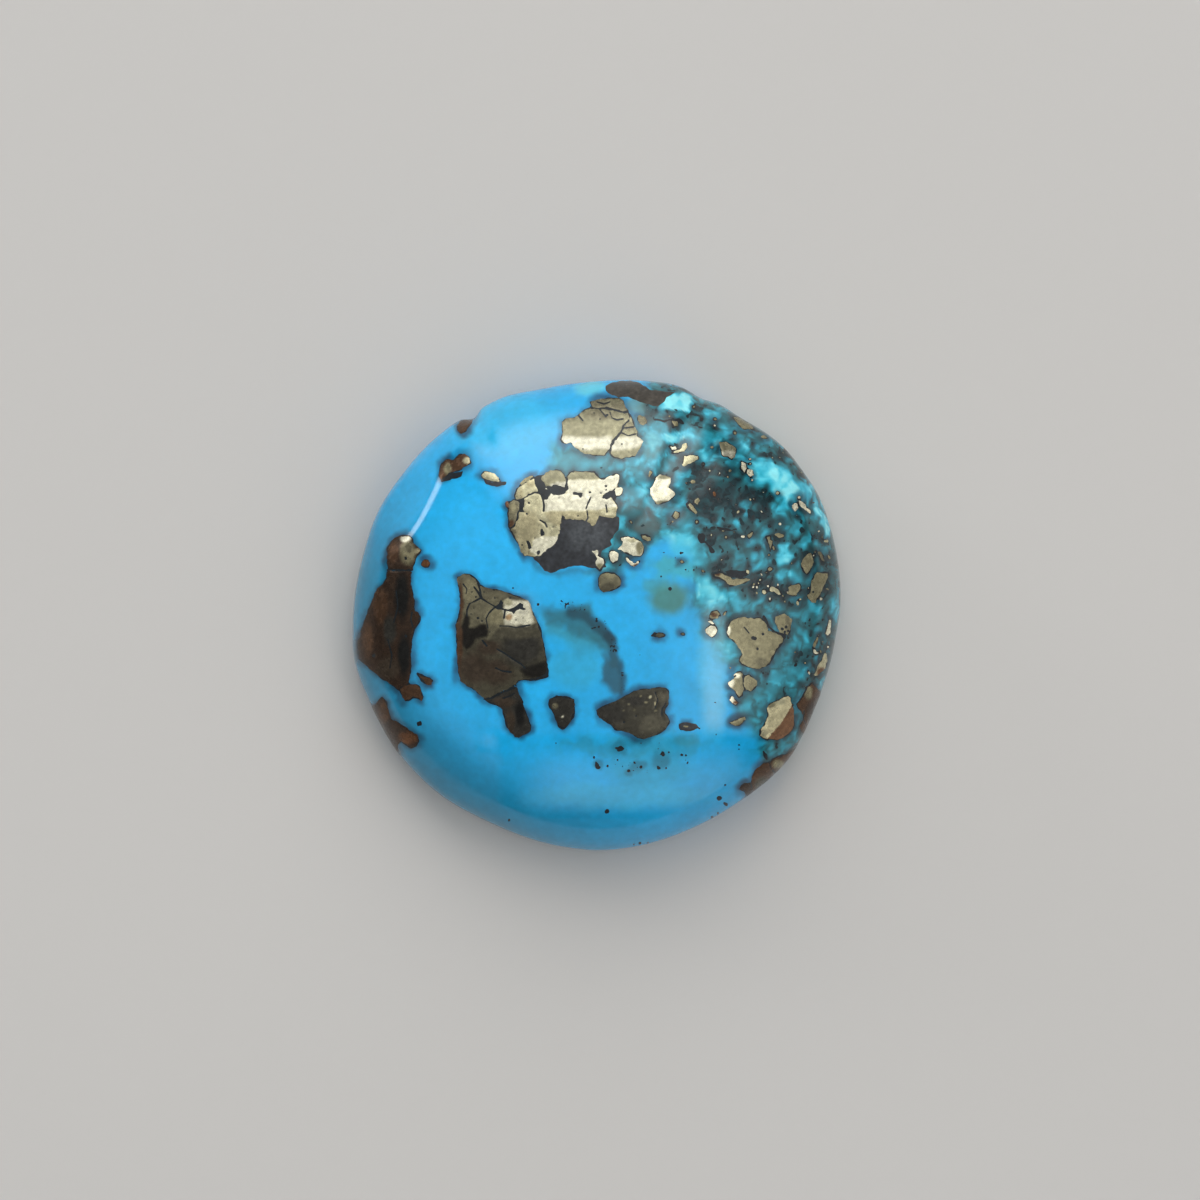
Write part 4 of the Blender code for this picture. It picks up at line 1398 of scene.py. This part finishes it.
def grain_painter(grains):
    """Return a function that gives a grain's colour at its points."""

    def paint_points(x, y, index):
        colours = np.array([item["metal"] for item in grains])[index]
        wx, wy = shifted(x, y, 0.9, 5.0, 17)
        for number, item in enumerate(grains):
            at = index == number
            layers = [area(*zone) for zone in item["zones"]]
            layers += [blob(*shade) for shade in item["shades"]]
            for mask, colour, _ in layers:
                colours[at] = mixed(colours[at], colour, mask(wx[at], wy[at]))
        patches = 1.0 + 0.16 * wander(x, y, 4.0, 19) + 0.12 * wander(x, y, 2.0, 20)
        return colours * patches[:, None]

    return paint_points


def matrix_painter(areas, base=BLACK):
    """Return a function that gives the dark mineral's colour."""

    def paint_points(x, y, _):
        colours = np.tile(np.array(base), (len(x), 1))
        for outline, tone in areas:
            amount = (signed_distance(x, y, outline) < 1.0)[:, None]
            colours = np.where(amount, np.array(tone), colours)
        mask, slate, _ = blob(*SLATE_PLACE, SLATE)
        colours = mixed(colours, slate, mask(x, y) * (0.75 + 0.25 * wander(x, y, 5.0, 21)))
        return colours * (1.0 + 0.35 * wander(x, y, 3.0, 22))[:, None]

    return paint_points


# The stone itself


def ring_plan():
    """Return the rings of the stone's mesh as (arc length, number of points)."""
    rings = [(ARC_GIRDLE * k / DOME_RINGS, 6 * k) for k in range(1, DOME_RINGS + 1)]
    for k in range(1, WALL_RINGS + 1):
        arc = ARC_GIRDLE + (ARC_BACK - ARC_GIRDLE) * k / WALL_RINGS
        rings.append((arc, 6 * DOME_RINGS))
    for k in range(BACK_RINGS - 1, 0, -1):
        rings.append((ARC[-1] - (ARC[-1] - ARC_BACK) * k / BACK_RINGS, 6 * k))
    return rings


def join_rings(first, first_count, second, second_count):
    """Return triangles between two rings of evenly spaced points."""
    triangles = []
    i = j = 0
    while i < first_count or j < second_count:
        a = first + i % first_count
        b = second + j % second_count
        if j * first_count <= i * second_count and j < second_count:
            triangles.append((a, b, second + (j + 1) % second_count))
            j += 1
        else:
            triangles.append((a, b, first + (i + 1) % first_count))
            i += 1
    return triangles


def stone_colours(x, y, share, grains):
    """Return the stone's colour at photograph pixels, with painted shade and sheen."""
    wx = x + 3.0 * wander(x, y, 15.0, 31) + 1.2 * wander(x, y, 5.0, 32)
    wy = y + 3.0 * wander(x, y, 15.0, 33) + 1.2 * wander(x, y, 5.0, 34)
    colours = np.tile(np.array(BLUE), (len(x), 1))
    # Painted shade: the blue darkens towards the rim, most at the left and the bottom
    angle = np.degrees(np.arctan2(ORIGIN_PX[1] - y, x - ORIGIN_PX[0])) % 360.0
    rim = smooth_step(*RIM_FADE, share) * np.interp(angle, RIM_TURNS, RIM_SHADES)
    colours = mixed(colours, RIM_SHADE_BLUE, rim)
    cover, darkness = web_at(wx, wy)
    steps = [step for step, _ in WEB_COLOURS]
    web = np.stack([np.interp(darkness, steps, [colour[i] for _, colour in WEB_COLOURS])
                    for i in range(3)], axis=-1)
    colours = mixed(colours, web, cover)
    for mask, colour, strength in STONE_TINTS:
        colours = mixed(colours, colour, mask(wx, wy) * strength)
    halo = np.full(len(x), FAR)
    for item in grains:
        at = near(x, y, item["outline"], FAR)
        if item["seam"] and at.any():
            halo[at] = np.minimum(halo[at], signed_distance(wx[at], wy[at], item["outline"]))
    strength, change = HALO_STRENGTH
    shade = smooth_step(HALO_REACH, 0.0, halo) * (strength + change * wander(x, y, 9.0, 35))
    colours = colours * (1.0 - np.clip(shade, 0.0, 1.0)[:, None] * np.array(HALO_SHADE))
    cloud = 1.0 + 0.06 * wander(x, y, 38.0, 36) + 0.05 * wander(x, y, 13.0, 37)
    cloud = cloud + 0.03 * wander(x, y, 5.0, 38)
    return np.clip(colours * cloud[:, None], *COLOUR_LIMITS)


def stone_mesh(grains):
    """Make the stone's closed mesh, from the crown over the rim to the middle of the back."""
    rings = ring_plan()
    u, v, starts = [0.0], [0.0], []
    for arc, count in rings:
        starts.append(len(u))
        angle = math.tau * np.arange(count) / count
        u += (arc * np.cos(angle)).tolist()
        v += (arc * np.sin(angle)).tolist()
    u.append(ARC[-1])
    v.append(0.0)
    u, v = np.array(u), np.array(v)
    first, last = rings[0][1], rings[-1][1]
    faces = [(0, 1 + i, 1 + (i + 1) % first) for i in range(first)]
    for start, end, (_, inner), (_, outer) in zip(starts, starts[1:], rings, rings[1:]):
        faces += join_rings(start, inner, end, outer)
    tip = len(u) - 1
    faces += [(starts[-1] + i, tip, starts[-1] + (i + 1) % last) for i in range(last)]
    mesh = bpy.data.meshes.new("turquoise_stone")
    mesh.from_pydata(bare_surface(u, v).tolist(), [], faces)
    x, y = pixels_of(u, v)
    arc = np.hypot(u, v)
    share = np.where(arc < ARC_GIRDLE, np.interp(arc, ARC, ARC_SHARE), 1.0)
    paint(mesh, "tint", stone_colours(x, y, share, grains))
    mesh.shade_smooth()
    return mesh


# Materials


def plug(tree, node, values):
    """Set a node's inputs, by name or number, to values or to other nodes' outputs."""
    for key, value in values.items():
        if isinstance(value, bpy.types.NodeSocket):
            tree.links.new(value, node.inputs[key])
        else:
            node.inputs[key].default_value = value


def add_node(tree, kind, values, **settings):
    """Add a shader node with its own settings and its inputs, and return its outputs."""
    node = tree.nodes.new("ShaderNode" + kind)
    for name, value in settings.items():
        setattr(node, name, value)
    plug(tree, node, values)
    return node.outputs


def add_noise(tree, noise):
    """Add noise in the object's own coordinates, given as bumps per metre and detail."""
    where = add_node(tree, "TexCoord", {})["Object"]
    return add_node(tree, "TexNoise", {
        "Scale": noise[0], "Detail": noise[1], "Vector": where})["Fac"]


def add_range(tree, noise, span):
    """Add noise whose values run through a span."""
    return add_node(tree, "MapRange", {
        "Value": add_noise(tree, noise), "From Min": NOISE_SPAN[0], "From Max": NOISE_SPAN[1],
        "To Min": span[0], "To Max": span[1]})["Result"]


def add_tint(tree, noise, tones):
    """Add the painted colour, made lighter and darker by noise."""
    tint = add_node(tree, "Attribute", {}, attribute_name="tint")["Color"]
    return add_node(tree, "VectorMath", {0: tint, "Scale": add_range(tree, noise, tones)},
                    operation="SCALE")["Vector"]


def add_bump(tree, noise, bump):
    """Add noise as bumps of a strength and height, and return the normal that they make."""
    return add_node(tree, "Bump", {
        "Height": add_noise(tree, noise), "Strength": bump[0], "Distance": bump[1]})["Normal"]


def shader_of(name):
    """Make a material, and return it with its node tree and its shader."""
    material = bpy.data.materials.new(name)
    material.use_nodes = True
    tree = material.node_tree
    return material, tree, tree.nodes["Principled BSDF"]


def stone_material():
    """Polished turquoise: an even gloss over softly clouded blue."""
    material, tree, shader = shader_of("polished_turquoise")
    plug(tree, shader, {
        "Base Color": add_tint(tree, STONE_CLOUD, STONE_TONES),
        "Roughness": add_range(tree, STONE_SMEAR, STONE_ROUGHNESS),
        "Normal": add_bump(tree, STONE_RIPPLE, STONE_BUMP),
        "IOR": STONE_IOR, "Metallic": 0.0})
    return material


def metal_material():
    """Polished metallic grains, pitted and uneven in tone."""
    material, tree, shader = shader_of("polished_pyrite")
    plug(tree, shader, {
        "Base Color": add_tint(tree, INLAY_GRIT, GRAIN_TONES),
        "Roughness": add_range(tree, GRAIN_SMEAR, GRAIN_ROUGHNESS),
        "Normal": add_bump(tree, GRAIN_RIPPLE, INLAY_BUMP),
        "Metallic": GRAIN_METALLIC})
    return material


def matrix_material():
    """Dark mineral between the grains, polished less evenly than the stone."""
    material, tree, shader = shader_of("dark_matrix")
    plug(tree, shader, {
        "Base Color": add_tint(tree, INLAY_GRIT, MATRIX_TONES),
        "Roughness": MATRIX_ROUGHNESS,
        "Normal": add_bump(tree, MATRIX_RIPPLE, INLAY_BUMP),
        "IOR": MATRIX_IOR})
    return material


def floor_material():
    """Plain pale matt floor."""
    material, tree, shader = shader_of("floor")
    plug(tree, shader, {"Base Color": (*FLOOR_COLOUR, 1.0), "Roughness": FLOOR_ROUGHNESS})
    return material


def glow_material(name, radiance):
    """Light that is stronger where its panel is painted brighter."""
    material, tree, _ = shader_of(name)
    tree.nodes.clear()
    level = add_node(tree, "Attribute", {}, attribute_name="glow")["Fac"]
    strength = add_node(tree, "Math", {0: level, 1: radiance}, operation="MULTIPLY")["Value"]
    light = add_node(tree, "Emission", {"Color": (*LAMP_COLOUR, 1.0), "Strength": strength})
    add_node(tree, "OutputMaterial", {"Surface": light["Emission"]})
    return material


def add_object(name, data):
    """Put an object with a mesh or a camera in the scene."""
    thing = bpy.data.objects.new(name, data)
    bpy.context.scene.collection.objects.link(thing)
    return thing


def add_piece(name, mesh, material):
    """Put a piece in the scene, riding on the stone's body."""
    mesh.materials.append(material)
    piece = add_object(name, mesh)
    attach(piece, "root")
    return piece


def build_stone():
    """Build the stone and its inlays."""
    patches, scattered = all_grains()
    back, specks = back_grains(), all_specks()
    stone = stone_mesh(patches + scattered + back)
    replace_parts(add_piece("turquoise_stone", stone, stone_material()),
                "turquoise_cabochon")
    dome_side = (dome_grid, raised_surface, pixels_of)
    back_side = (back_grid, raised_back, back_pixels)

    metal = metal_material()
    for name, grains, side, step in (("pyrite_patches", patches, dome_side, INLAY_STEP),
                                     ("pyrite_grains", scattered, dome_side, INLAY_STEP),
                                     ("pyrite_grains_back", back, back_side,
                                      BACK_COARSENESS * INLAY_STEP)):
        mesh = plate_mesh(name, side, lambda x, y: grain_field(x, y, grains),
                          grain_painter(grains), GRAIN_HEIGHTS, step, lean=1.0)
        add_piece(name, mesh, metal)

    dark = matrix_material()
    flecks = plate_mesh("dark_flecks", dome_side, fleck_field, matrix_painter((), FLECK),
                        FLECK_HEIGHTS, MATRIX_STEP)
    add_piece("dark_flecks", flecks, dark)
    for name, drawing, side, step in (
            ("dark_matrix", (patches + scattered, MATRIX_AREAS, MATRIX_LINES, specks),
             dome_side, MATRIX_STEP),
            ("dark_matrix_back", (back, (), (), ()), back_side,
             BACK_COARSENESS * MATRIX_STEP)):
        mesh = plate_mesh(name, side, lambda x, y: matrix_field(x, y, *drawing),
                          matrix_painter(drawing[1]), SEAM_HEIGHTS, step)
        add_piece(name, mesh, dark)


# Floor, light and camera


def add_floor():
    """Lay the pale floor under the stone."""
    bpy.ops.mesh.primitive_circle_add(vertices=FLOOR_CORNERS, radius=FLOOR_RADIUS,
                                      fill_type="NGON")
    floor = bpy.context.object
    floor.name = "floor"
    floor.data.materials.append(floor_material())


def mirrored_from(px, py):
    """Return the place, as far as the panels, that the camera sees mirrored at a pixel."""
    points, normals = with_normal(*unrolled([px], [py]), MIRROR_REACH)
    point, normal = Vector(points[0]), Vector(normals[0]).normalized()
    ray = (point - Vector(camera_place())).normalized()
    return point + ray.reflect(normal) * PANEL_DISTANCE


def faded(u, v, fade):
    """Return a panel's glow at a place on it.

    Its left, right, top and bottom fade over their shares of the panel, the bottom only down
    to the last value."""
    left, right, top, bottom, rest = fade
    glow = 1.0
    for reach, width, least in ((u, left, 0.0), (1.0 - u, right, 0.0), (v, top, 0.0),
                                (1.0 - v, bottom, rest)):
        glow *= least + (1.0 - least) * float(smooth_step(0.0, width, reach))
    return glow


def add_panel(name, place_at, radiance, fade):
    """Add a glowing panel; place_at gives its places for u and v from 0 to 1."""
    mesh = bpy.data.meshes.new(name)
    steps = np.linspace(0.0, 1.0, PANEL_STEPS)
    places = [place_at(u, v) for v in steps for u in steps]
    n = PANEL_STEPS
    faces = [(r * n + c, r * n + c + 1, (r + 1) * n + c + 1, (r + 1) * n + c)
             for r in range(n - 1) for c in range(n - 1)]
    mesh.from_pydata(places, [], faces)
    glow = [[faded(u, v, fade)] * 3 for v in steps for u in steps]
    paint(mesh, "glow", np.array(glow))
    mesh.materials.append(glow_material(name, radiance))
    panel = add_object(name, mesh)
    panel.visible_camera = False


def toward(azimuth, tilt):
    """Return a direction from its azimuth and its tilt from straight up, in degrees."""
    azimuth, tilt = math.radians(azimuth), math.radians(tilt)
    return Vector((math.cos(azimuth) * math.sin(tilt), math.sin(azimuth) * math.sin(tilt),
                   math.cos(tilt)))


def add_lights():
    """Place each panel where the photograph shows its reflection on the dome."""
    middle = Vector((0.0, 0.0, 0.5 * THICKNESS))
    for name, (turn_0, turn_1), (tilt_0, tilt_1), radiance, fade in SKY_PANELS:
        add_panel(name, lambda u, v: middle + PANEL_DISTANCE * toward(
            turn_0 + (turn_1 - turn_0) * u, tilt_0 + (tilt_1 - tilt_0) * v), radiance, fade)
    for name, (left, right), (upper, lower), radiance, fade in MIRRORED_PANELS:
        add_panel(name, lambda u, v: mirrored_from(left + (right - left) * u,
                                                   upper + (lower - upper) * v), radiance, fade)


def add_world():
    """Light the scene with a soft dim sky: darker straight above, brighter to one side."""
    world = bpy.data.worlds.new("studio")
    world.use_nodes = True
    tree = world.node_tree
    where = add_node(tree, "TexCoord", {})["Generated"]

    def lobe(direction, levels):
        """Return a brightness that depends on the angle from a direction."""
        aim = add_node(tree, "VectorMath", {0: where, 1: toward(*direction)},
                       operation="DOT_PRODUCT")
        ramp = tree.nodes.new("ShaderNodeValToRGB")
        stops = ramp.color_ramp.elements
        for place, _ in levels[1:-1]:
            stops.new(place)
        for stop, (place, level) in zip(stops, levels):
            stop.position = place
            stop.color = (level, level, level, 1.0)
        plug(tree, ramp, {"Fac": aim["Value"]})
        return ramp.outputs["Color"]

    both = add_node(tree, "VectorMath", {
        0: lobe(DARK_LOBE, WORLD_LEVELS), 1: lobe(BRIGHT_SIDE, BRIGHT_LEVELS)}, operation="ADD")
    plug(tree, tree.nodes["Background"], {"Color": both["Vector"], "Strength": 1.0})
    bpy.context.scene.world = world


def add_camera():
    """Look straight down, at the photograph's scale and framing."""
    camera = bpy.data.cameras.new("camera")
    camera.sensor_width = SENSOR_WIDTH
    camera.lens = SENSOR_WIDTH * (CAMERA_HEIGHT - GIRDLE_TOP) / (PHOTO_PX / PX_PER_M)
    camera.clip_start, camera.clip_end = CAMERA_RANGE
    holder = add_object("camera", camera)
    holder.location = camera_place()
    bpy.context.scene.camera = holder


build_stone()
add_floor()
add_world()
add_lights()
add_camera()
bpy.context.scene.view_settings.view_transform = "Standard"
